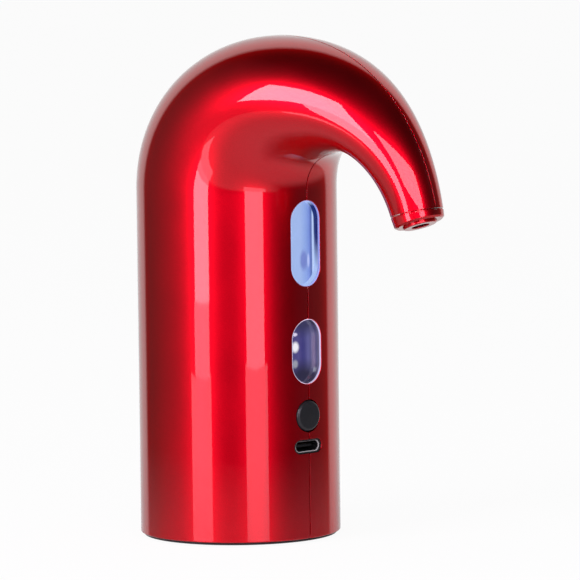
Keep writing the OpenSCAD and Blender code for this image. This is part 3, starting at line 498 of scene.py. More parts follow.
@dataclass(frozen=True)
class CandyLacquer(Finish):
    """Red metal-flake paint under a clear gloss coat, with painted shade where a point is marked.

    Attributes:
        name: the material's name.
        deep: the darker flakes' colour.
        bright: the lighter flakes' colour.
        edge: the tint of the metal's shine at a glancing angle.
        painted_shade: the colour of the painted shade where a point is marked, as deep in the nozzle's bore.
        roughness: the metal's mean roughness.
        flakes: how many flakes there are to the metre.
        flake_height: their height in millimetres, and likewise for the ripples.
        ripples: how many ripples on the coat there are to the metre.
        waves: how many changes of roughness there are to the metre.
        spread: how far the roughness goes to either side of its mean.
        coat_roughness: the coat's roughness, and likewise its index of refraction.
    """

    name: str = "candy_red_lacquer"
    deep: Colour = (0.84, 0.0, 0.012)
    bright: Colour = (0.98, 0.003, 0.020)
    edge: Colour = (0.04, 0.0, 0.0)
    painted_shade: Colour = (0.10, 0.0, 0.003)
    roughness: float = 0.355
    flakes: float = 5200.0
    flake_height: float = 0.003
    ripples: float = 420.0
    ripple_height: float = 0.0005
    waves: float = 60.0
    spread: float = 0.02
    coat_roughness: float = 0.02
    coat_ior: float = 1.55

    def dress(self, g: Look) -> None:
        """Flake noise varies the colour, broad noise the roughness, and a faint ripple lies on the coat.

        Args:
            g: the new material.
        """
        flake = g.noise(self.flakes, detail=2.0)
        smooth, rough = self.roughness - self.spread, self.roughness + self.spread
        # The mark blends the flakes' colour into painted shade.
        g.set(Base_Color=g.blend(g.mark(), g.tones(flake, self.deep, self.bright), self.painted_shade),
              Roughness=g.spread(g.noise(self.waves), smooth, rough), Metallic=1.0, Specular_Tint=self.edge,
              Coat_Weight=1.0, Coat_Roughness=self.coat_roughness, Coat_IOR=self.coat_ior)
        g.bump(flake, self.flake_height)
        g.bump(g.noise(self.ripples, detail=1.0), self.ripple_height, "Coat Normal")


@dataclass(frozen=True)
class Moulding(Finish):
    """Moulded plastic or rubber with a fine spark-eroded grain.

    Attributes:
        name: the material's name.
        colour: its mean colour.
        roughness: its mean roughness.
        grain: the grain's height in millimetres.
        grains: how many grains there are to the metre.
        sheen: how strong its sheen is.
        see_through: how much of the light goes into it.
        blotches: how many changes of tone there are to the metre.
        spread: how far the roughness goes to either side of its mean.
        depth: how far the light goes in, in metres.
        tone: the factors of its darkest and lightest tone.
        ior: its index of refraction.
    """

    name: str
    colour: Colour
    roughness: float
    grain: float = 0.012
    grains: float = 2600.0
    sheen: float = 0.0
    see_through: float = 0.0
    blotches: float = 110.0
    spread: float = 0.07
    depth: float = 0.004
    tone: Pair = (0.86, 1.12)
    ior: float = 1.5

    def dress(self, g: Look) -> None:
        """Grain varies roughness and height, and broad noise the colour.

        Args:
            g: the new material.
        """
        fine = g.noise(self.grains, detail=4.0)
        tones = [shade(self.colour, factor) for factor in self.tone]
        g.set(Base_Color=g.tones(g.noise(self.blotches), *tones),
              Roughness=g.spread(fine, self.roughness - self.spread, self.roughness + self.spread),
              IOR=self.ior, Sheen_Weight=self.sheen, Subsurface_Weight=self.see_through)
        if self.see_through:
            g.set(Subsurface_Radius=(self.depth, self.depth, self.depth), Subsurface_Scale=1.0)
        g.bump(fine, self.grain)


@dataclass(frozen=True)
class Metal(Finish):
    """Metal with drawing or turning marks along one direction.

    Attributes:
        name: the material's name.
        colour: its mean colour.
        roughness: its mean roughness.
        stretch: the factors on the marks' number along each axis.
        lines: how many marks there are to the metre.
        line_height: their height in millimetres.
        blotches: how many changes of tone there are to the metre.
        spread: how far the roughness goes below and above its mean.
        tone: the factors of its darkest and lightest tone.
    """

    name: str
    colour: Colour
    roughness: float
    stretch: Point = (1.0, 1.0, 0.08)
    lines: float = 5200.0
    line_height: float = 0.003
    blotches: float = 160.0
    spread: Pair = (0.08, 0.1)
    tone: Pair = (0.84, 1.08)

    def dress(self, g: Look) -> None:
        """Stretched noise varies roughness and height, and broad noise the colour.

        Args:
            g: the new material.
        """
        lines = g.noise(self.lines, stretch=self.stretch)
        tones = [shade(self.colour, factor) for factor in self.tone]
        below, above = self.spread
        g.set(Base_Color=g.tones(g.noise(self.blotches), *tones),
              Roughness=g.spread(lines, self.roughness - below, self.roughness + above), Metallic=1.0)
        g.bump(lines, self.line_height)


@dataclass(frozen=True)
class ClearPlastic(Finish):
    """Polished clear plastic with a faint moulding haze, whose edge carries light where it is marked.

    Attributes:
        name: the material's name.
        edge_light: the colour of the light at its edge.
        edge_strength: how strong that light is.
        tint: its own colour.
        roughness: its mean roughness.
        hazes: how many changes of haze there are to the metre.
        haze_tone: the factor of its darkest tone.
        spread: the factors of its least and greatest roughness.
        ior: its index of refraction.
    """

    name: str
    edge_light: Colour = (0.0, 0.0, 0.0)
    edge_strength: float = 0.0
    tint: Colour = (0.93, 0.96, 1.0)
    roughness: float = 0.02
    hazes: float = 240.0
    haze_tone: float = 0.97
    spread: Pair = (0.5, 1.5)
    ior: float = 1.49

    def dress(self, g: Look) -> None:
        """Haze varies colour and roughness, and the mark lights the edge.

        Args:
            g: the new material.
        """
        haze = g.noise(self.hazes, detail=2.0)
        g.set(Base_Color=g.tones(haze, shade(self.tint, self.haze_tone), self.tint),
              Roughness=g.spread(haze, *(self.roughness * factor for factor in self.spread)),
              IOR=self.ior, Transmission_Weight=1.0)
        if self.edge_strength:
            g.set(Emission_Color=g.ramp(g.mark(), [(0.0, (0.0, 0.0, 0.0)), (1.0, self.edge_light)]),
                  Emission_Strength=self.edge_strength)


@dataclass(frozen=True)
class Patch:
    """A soft-edged patch of painted light, lighter or darker than what lies round it: its middle and reach
    along each axis in millimetres, and its colour.
    """

    middle: Point
    reach: Point
    colour: Colour


@dataclass(frozen=True)
class Lit(Finish):
    """Plastic that glows with painted light, with upright bands and patches of painted light and shade across
    it.

    Attributes:
        name: the material's name.
        body: the plastic's own colour.
        bands: places along Y in millimetres and the colours of the painted light and shade there.
        patches: the patches of painted highlight and shade.
        wander: how far noise shifts the bands, in millimetres.
        strength: the light's strength.
        streaks: how many shifts there are in a metre.
        core: the share of a patch's reach that is evenly lit.
        stretch: the factors on the shifts' number along each axis.
        blotches: how many changes of tone there are to the metre.
        tone: the factor of the plastic's darkest tone.
        roughness: its roughness.
        specular: the level of its shine.
    """

    name: str
    body: Colour
    bands: tuple[tuple[float, Colour], ...]
    patches: tuple[Patch, ...] = ()
    wander: float = 0.2
    strength: float = 1.0
    streaks: float = 400.0
    core: float = 0.5
    stretch: Point = (1.0, 1.0, 0.25)
    blotches: float = 300.0
    tone: float = 0.9
    roughness: float = 0.4
    specular: float = 0.1

    def dress(self, g: Look) -> None:
        """The bands follow Y, noise stretched along Z shifts them, and patches fade out over their reach.

        Args:
            g: the new material.
        """
        first, last = self.bands[0][0], self.bands[-1][0]
        streak = g.noise(self.streaks, stretch=self.stretch)
        shift = g.spread(streak, -self.wander * MM, self.wander * MM)
        place = g.fit(g.math("ADD", g.axis("Y"), shift), first * MM, last * MM)
        colour = g.ramp(place, [((y - first) / (last - first), c) for y, c in self.bands])
        for patch in self.patches:
            away = g.vector("SUBTRACT", g.place, tuple(v * MM for v in patch.middle)).outputs[0]
            away = g.vector("DIVIDE", away, tuple(v * MM for v in patch.reach)).outputs[0]
            colour = g.blend(g.fit(g.length(away), self.core, 1.0, 1.0, 0.0), colour, patch.colour)
        g.set(Emission_Color=colour, Emission_Strength=self.strength,
              Base_Color=g.tones(g.noise(self.blotches), shade(self.body, self.tone), self.body),
              Roughness=self.roughness, Specular_IOR_Level=self.specular)


@dataclass(frozen=True)
class CircuitBoard(Finish):
    """Green solder mask with faint tracks.

    Attributes:
        name: the material's name.
        masks: the mask's two tones.
        track: the tracks' colour.
        scale: the track pattern's scale.
        track_width: the tracks' width in that pattern.
        track_height: their height in millimetres.
        roughness: the least and greatest roughness.
        blotches: how many changes of roughness there are to the metre.
    """

    name: str = "circuit_board"
    masks: tuple[Colour, Colour] = ((0.01, 0.11, 0.05), (0.015, 0.13, 0.06))
    track: Colour = (0.04, 0.24, 0.11)
    scale: float = 420.0
    track_width: float = 0.06
    track_height: float = 0.02
    roughness: Pair = (0.25, 0.4)
    blotches: float = 900.0

    def dress(self, g: Look) -> None:
        """A brick pattern makes the tracks, which stand out a little.

        Args:
            g: the new material.
        """
        turn = g.node("ShaderNodeMapping", inputs={"Vector": g.place, "Rotation": (0.0, np.pi / 2, 0.0)})
        first, second, track = ((*colour, 1.0) for colour in (*self.masks, self.track))
        tracks = g.node("ShaderNodeTexBrick", inputs={
            "Vector": turn.outputs[0], "Scale": self.scale, "Mortar Size": self.track_width,
            "Color1": first, "Color2": second, "Mortar": track})
        rough = g.spread(g.noise(self.blotches), *self.roughness)
        g.set(Base_Color=tracks.outputs["Color"], Roughness=rough)
        g.bump(tracks.outputs["Fac"], self.track_height)


@dataclass(frozen=True)
class Winding(Finish):
    """Enamelled wire in close turns.

    Attributes:
        name: the material's name.
        colour: the wire's colour.
        pitch: the distance between two turns, in millimetres.
        wave: the length of the wave texture's wave at a scale of 1.
        waver: how much the turns waver.
        gap_tone: the factor of the tone between the turns.
        roughness: the roughness between the turns and on them.
        metal: how much of the metal shows.
        turn_height: the turns' height in millimetres.
    """

    name: str
    colour: Colour
    pitch: float = 0.35
    wave: float = 0.3142
    waver: float = 0.6
    gap_tone: float = 0.45
    roughness: Pair = (0.4, 0.22)
    metal: float = 0.9
    turn_height: float = 0.08

    def dress(self, g: Look) -> None:
        """A wave along Z makes the turns.

        Args:
            g: the new material.
        """
        wave = g.node("ShaderNodeTexWave", {"bands_direction": "Z"}, {
            "Vector": g.place, "Scale": self.wave / (self.pitch * MM), "Distortion": self.waver,
            "Detail": 1.0}).outputs["Fac"]
        g.set(Base_Color=g.ramp(wave, [(0.0, shade(self.colour, self.gap_tone)), (1.0, self.colour)]),
              Roughness=g.spread(wave, *self.roughness), Metallic=self.metal)
        g.bump(wave, self.turn_height)


# The body's form

@dataclass(frozen=True)
class Arch:
    """The bent neck: round sections whose diameters run from an outer to an inner profile curve.

    Each profile is two cubic curves, from the shoulder to its highest point and on to the spout's end.

    Attributes:
        body_r: the body's radius.
        shoulder: the height at which the arch starts.
        crown: x and z of the outer profile's highest point.
        throat: x and z of the inner profile's highest point.
        tip: x and z of the middle of the spout's end.
        tip_r: the spout's radius there.
        lean: the lean of the spout's end, in degrees.
        outer_lean: the outer profile's lean there, and likewise for the inner one.
        handle: the length of a curve's handles, as a share of its height or width.
        outer_handle: that of the outer profile's first curve at its top, and likewise for the inner one.
    """

    body_r: float = 27.0
    shoulder: float = 93.3
    crown: Pair = (19.0, 135.0)
    throat: Pair = (43.5, 104.9)
    tip: Pair = (68.2, 90.1)
    tip_r: float = 7.0
    lean: float = 13.5
    outer_lean: float = 12.0
    inner_lean: float = 21.7
    handle: float = 0.5523
    outer_handle: float = 0.60
    inner_handle: float = 0.74

    def profile(self, side: float, top: Pair, lean: float, top_handle: float) -> Array:
        """Control points of one profile.

        Args:
            side: -1 for the outer profile and 1 for the inner one.
            top: its highest point.
            lean: its lean at the spout's end, in degrees.
            top_handle: how far its first curve runs level at the top, as a share of its width.
        Returns:
            Two curves of four points.
        """
        h, a, end = self.handle, np.radians(self.lean), np.radians(lean)
        start, peak = np.array([side * self.body_r, self.shoulder]), np.array(top)
        tip = np.array(self.tip) - side * self.tip_r * np.array([np.cos(a), np.sin(a)])
        first = [start, start + [0, h * (peak[1] - start[1])],
                 peak - [top_handle * (peak[0] - start[0]), 0], peak]
        second = [peak, peak + [h * (tip[0] - peak[0]), 0],
                  tip - np.array([np.sin(end), -np.cos(end)]) * h * (peak[1] - tip[1]), tip]
        return np.array([first, second])

    @staticmethod
    def along(curve: Array, s: Array) -> Array:
        """Points of a profile at s from 0 to 2: the Bezier sum of its curve's four points.

        Args:
            curve: the profile's control points.
            s: the places.
        Returns:
            The points.
        """
        t = np.where(s <= 1, s, s - 1)[..., None]
        p = np.where((s <= 1)[..., None, None], curve[0], curve[1])
        return (p[..., 0, :] * (1 - t) ** 3 + p[..., 1, :] * 3 * t * (1 - t) ** 2
                + p[..., 2, :] * 3 * t ** 2 * (1 - t) + p[..., 3, :] * t ** 3)

    def points(self, s: Array, t: Array) -> Array:
        """P(s, t) = middle(s) + r(s) (cos t toward the inner profile + sin t along Y).

        The inner profile is passed at a pace that keeps the sections' turning even across the crown.

        Args:
            s: the place along the arch, from 0 to 2.
            t: the angle round the section, from 0 on the inner side to pi on the outer side.
        Returns:
            The points.
        """
        outer = self.profile(-1.0, self.crown, self.outer_lean, self.outer_handle)
        inner = self.profile(1.0, self.throat, self.inner_lean, self.inner_handle)
        run_in, run_out = ((c[0, 3, 0] - c[0, 2, 0], c[1, 1, 0] - c[1, 0, 0]) for c in (outer, inner))
        step = np.sqrt(run_in[1] / run_out[1] * run_out[0] / run_in[0])
        pace = np.where(s <= 1, s + (1 - 1 / step) * (s ** 2 - s ** 3),
                        s + (step - 1) * (s - 1) * (2 - s) ** 2)
        a, b = self.along(outer, s), self.along(inner, pace)
        middle, across = (a + b) / 2, (b - a) / 2
        ring = middle + np.cos(t)[..., None] * across
        return np.stack([ring[..., 0], np.sin(t) * np.linalg.norm(across, axis=-1), ring[..., 1]], axis=-1)

    def normals(self, s: Array, t: Array, e: float = 1e-4) -> Array:
        """The cross product of the surface's two slopes, taken over small steps.

        Args:
            s: the place along the arch.
            t: the angle round the section.
            e: half a step.
        Returns:
            The outward directions.
        """
        low, high = np.maximum(s - e, 0), np.minimum(s + e, 2)
        round_it = self.points(s, t + e) - self.points(s, t - e)
        return unit(np.cross(round_it, self.points(high, t) - self.points(low, t)))


@dataclass(frozen=True)
class Opening:
    """A stadium-shaped hole in the body's front: its middle's height, half its width and half its height."""

    z: float
    half_w: float
    half_h: float

    def half_outline(self, grow: float, start: float, counts: tuple[int, int], fine: int = 400) -> Array:
        """The outline on the side y > 0, from its lowest to its highest point.

        It is a quarter arc, a straight and a quarter arc, with level straights where it is wider than high.
        The arcs' eighths are where its low, side and high stretches meet.

        Args:
            grow: how far it lies outside the hole's edge.
            start: the y at which it starts and ends.
            counts: the number of points on the low or high stretch, and on the side stretch.
            fine: the number of steps on an arc that the points are picked from.
        Returns:
            The points as y and z.
        """
        r = min(self.half_w, self.half_h) + grow
        core_y, core_z = self.half_w + grow - r, self.half_h + grow - r
        first = -np.arccos(start / r) if core_y <= start else -np.pi / 2
        t = np.linspace(first, 0, fine + 1)
        level = np.linspace(start, core_y, fine // 2, endpoint=False) if core_y > start else np.zeros(0)
        y = np.concatenate([level, core_y + r * np.cos(t)])
        z = np.concatenate([np.full(len(level), -core_z - r), -core_z + r * np.sin(t)])
        eighth = len(level) + np.searchsorted(t, -np.pi / 4)
        y, z = np.concatenate([y, y[::-1]]), self.z + np.concatenate([z, -z[::-1]])
        way = np.concatenate([[0], np.cumsum(np.hypot(np.diff(y), np.diff(z)))])
        low, total = way[eighth], way[-1]
        stops = np.concatenate([np.linspace(0, low, counts[0]), np.linspace(low, total - low, counts[1])[1:],
                                np.linspace(total - low, total, counts[0])[1:]])
        return np.stack([np.interp(stops, way, y), np.interp(stops, way, z)], axis=1)


class Side(Enum):
    """The two half shells."""

    LEFT = "shell_left"
    RIGHT = "shell_right"


@dataclass(frozen=True)
class Body:
    """The two painted half shells, which meet at a fine seam on the plane y = 0.

    Attributes:
        arch: the neck's form.
        holes: the openings in the front, from the lowest up.
        bottom: the lower edge's height.
        wall: the wall's thickness.
        seam: half the width of the groove at the seam.
        groove: its depth.
        meeting: how far each half stays off the plane below it.
        seam_round: the round at the seam, and likewise at the holes, the spout's end and the bottom.
        strip: the y where the front strip, which holds the holes, ends.
        first_cell: how far the lowest hole's cell reaches below its middle.
        pitch: how many points there are along a millimetre of a cell's side.
        crowding: how strongly a cell's rows gather at its hole.
        arch_end: the place along the arch where the spout's end starts to turn in.
        hole_reach: a y beyond every hole.
        turns: the angles of the rows on a round, in degrees.
        strip_cols: the number of points across the front strip.
        ring_cols: the number round the rest of the tube.
        arch_rows: the number along each of the arch's two stretches.
        foot_rows: the number from the bottom to the lowest cell.
        cell_rows: the number from a hole to its cell's frame.
        least_rows: the least number along a cell's side.
    """

    arch: Arch = Arch()
    holes: tuple[Opening, ...] = (Opening(25.5, 5.01, 1.9), Opening(33.7, 4.4, 4.4), Opening(50.9, 5.4, 8.7),
                                  Opening(79.8, 5.4, 11.5))
    bottom: float = 0.7
    wall: float = 2.2
    seam: float = 0.16
    groove: float = 0.35
    meeting: float = 0.01
    seam_round: float = 0.06
    hole_round: float = 0.08
    tip_round: float = 0.12
    bottom_round: float = 0.3
    strip: float = 14.0
    first_cell: float = 11.5
    pitch: float = 1.3
    crowding: float = 1.3
    arch_end: float = 1.997
    hole_reach: float = 9.0
    turns: tuple[float, ...] = (22.5, 45.0, 67.5, 90.0)
    strip_cols: int = 13
    ring_cols: int = 61
    arch_rows: int = 61
    foot_rows: int = 12
    cell_rows: int = 11
    least_rows: int = 13

    def tube(self, y: Array, z: Array) -> Surface:
        """Front of the straight body: x = sqrt(r^2 - y^2), with the normal straight out from the axis.

        Args:
            y: the grid's y.
            z: its heights.
        Returns:
            The open surface.
        """
        r = self.arch.body_r
        x = np.sqrt(r ** 2 - y ** 2)
        return Surface.grid(np.stack([x, y, z], axis=-1), np.stack([x, y, 0 * y], axis=-1) / r)

    def sheet(self) -> Surface:
        """The outside of one half, up to where its edges start to turn in.

        The front strip is cut into cells, one round each hole; a cell runs from the hole's outline to the
        cell's frame, Q(u, v) = (1 - v) outline(u) + v frame(u). A plain grid of angle and height makes the
        rest of the tube, and the arch's own function the neck.

        Returns:
            The open surface.
        """
        a, start = self.arch, self.seam + self.seam_round
        y = np.linspace(start, self.strip, self.strip_cols)
        tops = [(p.z + p.half_h + q.z - q.half_h) / 2 for p, q in zip(self.holes, self.holes[1:])]
        levels = [self.holes[0].z - self.first_cell] + tops + [a.shoulder]
        rows = [np.linspace(self.bottom + self.bottom_round, levels[0], self.foot_rows)]
        parts = [self.tube(*np.meshgrid(y, rows[0]))]
        v = np.linspace(0, 1, self.cell_rows)[:, None] ** self.crowding
        for hole, z0, z1 in zip(self.holes, levels, levels[1:]):
            up = np.linspace(z0, z1, int(max(self.least_rows, (z1 - z0) * self.pitch)))
            rows.append(up[1:])
            edge = hole.half_outline(self.hole_round, start, (len(y), len(up)))
            rim = np.concatenate([np.stack([y, np.full_like(y, z0)], axis=1),
                                  np.stack([np.full(len(up) - 1, self.strip), up[1:]], axis=1),
                                  np.stack([y[::-1][1:], np.full(len(y) - 1, z1)], axis=1)])
            parts.append(self.tube(*((1 - v) * edge[:, k] + v * rim[:, k] for k in (0, 1))))
        turn = np.linspace(np.arcsin(self.strip / a.body_r), np.pi - np.arcsin(start / a.body_r),
                           self.ring_cols)
        gt, gz = np.meshgrid(turn, np.concatenate(rows))
        out = np.stack([np.cos(gt), np.sin(gt), 0 * gt], axis=-1)
        parts.append(Surface.grid(out * a.body_r + np.stack([0 * gz, 0 * gz, gz], axis=-1), out))
        ring = np.concatenate([np.arcsin(y / a.body_r)[:-1], turn])
        s = np.concatenate([np.linspace(0, 1, self.arch_rows)[:-1],
                            np.linspace(1, self.arch_end, self.arch_rows)])
        r = np.linalg.norm(a.points(s, 0 * s) - a.points(s, 0 * s + np.pi), axis=1) / 2
        first = np.arcsin(start / r)[:, None]
        share = (ring - ring[0]) / (ring[-1] - ring[0])
        gt = first + share * (np.pi - 2 * first)
        gs = np.broadcast_to(s[:, None], gt.shape)
        parts.append(Surface.grid(a.points(gs, gt), a.normals(gs, gt)))
        return Surface.joined(parts).welded()

    def walled(self, sheet: Surface, step: float = 0.05, near: float = 1e-3) -> Surface:
        """Turn the sheet's edge in by a quarter round, take it down through the wall and close the inside.

        With n the normal and b the direction off the sheet at an edge point P, the round is
        P + r (sin a b - (1 - cos a) n) for a from 0 to 90 degrees. The wall goes on along -n, or along -X in
        the holes, where x = sqrt((radius - depth)^2 - y^2). At the seam it steps in, so the halves meet at
        the bottom of a groove.

        Args:
            sheet: the open outside.
            step: the depth over which the wall steps or turns.
            near: how close to an edge's plane a point lies that belongs to it.
        Returns:
            The closed half shell.
        """
        p, n, f = sheet.points, sheet.normals, sheet.faces
        count = len(p)
        tail, head = f.reshape(-1), np.roll(f, -1, axis=1).reshape(-1)
        open_edge = ~np.isin(tail * count + head, head * count + tail)
        tail, head = tail[open_edge], head[open_edge]
        off = np.zeros_like(p)
        away = np.cross(unit(p[head] - p[tail]), unit(n[head] + n[tail]))
        np.add.at(off, tail, away)
        np.add.at(off, head, away)
        edge = np.unique(tail)
        m = len(edge)
        place = np.full(count, -1)
        place[edge] = np.arange(m)
        pe, ne = p[edge], n[edge]
        b = unit(off[edge] - (off[edge] * ne).sum(axis=1, keepdims=True) * ne)
        at_seam = np.abs(pe[:, 1] - self.seam - self.seam_round) < near
        at_tip = ~at_seam & (pe[:, 0] > self.arch.throat[0])
        at_bottom = np.abs(pe[:, 2] - self.bottom - self.bottom_round) < near
        in_hole = ~(at_seam | at_tip | at_bottom)
        r = np.select([at_bottom, at_tip, at_seam], [self.bottom_round, self.tip_round, self.seam_round],
                      self.hole_round)[:, None]
        rows, leans = [], []
        for angle in np.radians(self.turns):
            rows.append(pe + r * (np.sin(angle) * b - (1 - np.cos(angle)) * ne))
            leans.append(np.cos(angle) * ne + np.sin(angle) * b)
        turned = pe + r * b
        y, z = turned[:, 1], turned[:, 2]
        for depth in (self.groove, self.groove + step, self.wall - step, self.wall):
            x = np.sqrt((self.arch.body_r - depth) ** 2 - np.minimum(y, self.hole_reach) ** 2)
            row = np.where(in_hole[:, None], np.stack([x, y, z], axis=1), turned - depth * ne)
            row[:, 1] = np.where(at_seam & (depth > self.groove), self.meeting, row[:, 1])
            rows.append(row)
        leans += [b, b, b, unit(b - ne)]
        ring = [np.arange(count)] + [count + k * m + place for k in range(len(rows))]
        inner = np.where(place >= 0, ring[-1], count + len(rows) * m + np.arange(count))
        faces = [f, inner[f[:, ::-1]]]
        faces += [np.stack([upper[head], upper[tail], lower[tail], lower[head]], axis=1)
                  for upper, lower in zip(ring, ring[1:])]
        return Surface(np.concatenate([p, *rows, p - self.wall * n]), np.concatenate([n, *leans, -n]),
                       np.concatenate(faces))

    def build(self, paint: Material) -> None:
        """Make both half shells.

        Args:
            paint: their finish.
        """
        half = self.walled(self.sheet())
        for side in Side:
            shape = half if side is Side.LEFT else half.mirrored()
            shape.piece(f"{side.value}_skin", "paint", paint, side.value)


# Windows

@dataclass(frozen=True)
class Window:
    """A clear lens with a flange behind the shell's wall.

    Attributes:
        node: the frame's node that it replaces.
        z: the height of its middle.
        height: the hole's height.
        finish: the plastic, with the light that its edge carries.
        width: the hole's width.
        gap: the play round it.
        front: its front's radius about the body's axis, and likewise for its flange.
        flange: how far the flange reaches past the hole.
        lit_edge: the width of the edge that is marked.
        mark_from: how far in front of the flange the marked edge starts.
        rounds: the rounds at its section's corners.
    """

    node: str
    z: float
    height: float
    finish: ClearPlastic
    width: float = 10.8
    gap: float = 0.05
    front: float = 26.95
    flange: float = 1.0
    flange_front: float = 24.7
    flange_back: float = 23.7
    lit_edge: float = 0.2
    mark_from: float = 0.3
    rounds: Rounds = (0.1, 0.1, 0.1, 0.22)

    def build(self) -> None:
        """Carry a profile of distance and radius about Z round a stadium, and mark its front edge."""
        half, out = self.width / 2 - self.gap, self.width / 2 + self.flange
        core = self.height / 2 - self.gap - half
        profile = rounded([(0.0, self.flange_back), (out, self.flange_back), (out, self.flange_front),
                           (half, self.flange_front), (half, self.front), (0.0, self.front)],
                          self.rounds, steps=6, longest=0.6)
        made = Loop.stadium(self.z, 0.0, core).swept(profile, True)
        x, y, z = made.points.T
        reach = np.hypot(y, np.maximum(np.abs(z - self.z) - core, 0))
        in_front = np.hypot(x, y) > self.flange_front + self.mark_from
        made.marks = np.clip((reach - half + self.lit_edge) / self.lit_edge, 0, 1) * in_front
        made.piece(f"{self.node}_lens", "clear_plastic", self.finish.material(), self.node)


@dataclass(frozen=True)
class SightGuide:
    """The clear guide between the aeration chamber and the sight window, hollowed like an upright trough.

    Attributes:
        z: the height of its middle.
        half_w: half its width.
        half_h: half its height.
        front: its front's radius about the body's axis, before it is hollowed.
        back: its back's x.
        hollow: the trough's depth.
        rounds: the rounds at its section's corners.
    """

    z: float = 50.9
    half_w: float = 5.3
    half_h: float = 8.6
    front: float = 23.3
    back: float = 19.65
    hollow: float = 1.1
    rounds: Rounds = (0.15, 0.25)

    def build(self, material: Material) -> None:
        """A stadium block whose front follows the body's curve and dips by hollow * (1 - (y / half width)^2).

        Args:
            material: its finish, which paints the glow, a highlight, glints and shade seen through the
                window.
        """
        profile = rounded(solid_section(self.half_w, self.back, self.front), self.rounds, longest=0.5)
        made = Loop.stadium(self.z, 0.0, self.half_h - self.half_w).swept(profile)
        face = made.normals[:, 0] > 0.5
        y = made.points[:, 1]
        share = y / self.half_w
        curve = np.sqrt(self.front ** 2 - y ** 2) - self.front
        made.points[:, 0] += np.where(face, curve - self.hollow * np.maximum(1 - share ** 2, 0), 0)
        slope = np.where(face, 2 * self.hollow * share / self.half_w - y / self.front, 0)
        made.normals = unit(made.normals - np.outer(slope, [0.0, 1.0, 0.0]))
        made.piece("sight_guide", "clear_plastic", material)


# The sight guide's glow is painted: bands of painted highlight and shade down it, and patches of painted
# glints and shade.
SIGHT_LIGHT = Lit(
    "sight_guide_light", (0.010, 0.010, 0.016),
    ((-5.3, (0.05, 0.045, 0.14)), (0.0, (0.09, 0.075, 0.25)), (1.2, (0.055, 0.047, 0.21)),
     (2.0, (0.06, 0.055, 0.215)), (3.2, (0.13, 0.12, 0.32)), (4.0, (0.115, 0.105, 0.265)),
     (4.6, (0.08, 0.075, 0.19)), (5.3, (0.13, 0.12, 0.26))),
    (Patch((22.2, 1.5, 60.5), (4.0, 8.0, 6.5), (0.040, 0.036, 0.105)),
     Patch((22.2, 1.5, 41.5), (4.0, 7.0, 7.5), (0.024, 0.021, 0.055)),
     Patch((22.2, -1.2, 55.3), (2.5, 1.1, 0.6), (0.80, 0.72, 0.92)),
     Patch((22.2, -1.1, 51.9), (2.5, 1.5, 1.8), (1.0, 0.97, 1.0)),
     Patch((22.2, -1.2, 47.4), (2.5, 1.2, 1.4), (0.36, 0.36, 0.42)),
     Patch((22.6, 4.9, 45.1), (2.5, 0.5, 1.4), (0.26, 0.26, 0.34))), 0.25)
# The diffuser's glow, with painted shade at its recess's corner and painted light on the side wall beyond,
# and a darker and a lighter painted patch.
DIFFUSER_LIGHT = Lit(
    "lit_diffuser", (0.05, 0.06, 0.08),
    ((-5.4, (0.40, 0.53, 0.86)), (0.8, (0.40, 0.53, 0.88)), (2.6, (0.30, 0.43, 0.84)),
     (3.9, (0.20, 0.30, 0.76)), (4.2, (0.12, 0.19, 0.55)), (4.7, (0.07, 0.14, 0.40)),
     (4.85, (0.50, 0.66, 1.0)), (5.4, (0.60, 0.76, 1.0))),
    (Patch((22.4, 2.0, 75.0), (3.0, 1.6, 3.4), (0.20, 0.26, 0.64)),
     Patch((22.4, 3.55, 74.9), (3.0, 0.5, 2.3), (0.52, 0.60, 1.0))), 0.03)
# The box wall glows with painted light, with a patch of painted shade along its edge at +Y.
BOX_LIGHT = Lit(
    "lit_box_wall", (0.05, 0.06, 0.08), ((-5.4, (0.36, 0.48, 0.82)), (5.4, (0.46, 0.62, 1.0))),
    (Patch((23.0, 5.4, 87.5), (1.0, 3.0, 15.0), (0.0, 0.012, 0.15)),), 0.1)
LAMP_LIGHT = Lit("lit_lamp", (0.85, 0.86, 0.9),
                 ((-1.5, (0.5, 0.62, 1.0)), (0.0, (0.9, 0.93, 1.0)), (1.5, (0.5, 0.62, 1.0))))
# The bezel glows with painted light, brighter toward +Y.
BEZEL_LIGHT = Lit("lit_bezel", (0.03, 0.03, 0.04), (
    (-5.5, (0.02, 0.02, 0.04)), (4.0, (0.05, 0.045, 0.09)), (5.5, (0.17, 0.16, 0.29))), strength=0.8)


# Small pieces

@dataclass(frozen=True)
class Button:
    """The round push button, with a rim behind the wall and a rounded front edge.

    Attributes:
        z: the height of its axis.
        radius: its radius.
        rim: the rim's radius.
        back: the rim's back along X.
        rim_front: the rim's front along X.
        front: the button's front along X.
        crown: how far its front rises from the edge to the middle.
        rounds: the rounds at its section's corners.
    """

    z: float = 33.7
    radius: float = 4.15
    rim: float = 5.2
    back: float = 23.249
    rim_front: float = 24.049
    front: float = 27.4
    crown: float = 0.12
    rounds: Rounds = (0.1, 0.1, 0.05, 0.85)

    def build(self, material: Material) -> None:
        """A profile of radius and x turned about the button's axis, slightly crowned in front.

        Args:
            material: its finish.
        """
        profile = rounded([(0.0, self.back), (self.rim, self.back), (self.rim, self.rim_front),
                           (self.radius, self.rim_front), (self.radius, self.front - self.crown),
                           (0.0, self.front)], self.rounds, steps=9, longest=0.8)
        Loop.circle((0.0, 0.0, self.z), (1.0, 0.0, 0.0)).swept(profile).piece(
            "button_cap_turned", "black_plastic", material, "button_cap", "button")


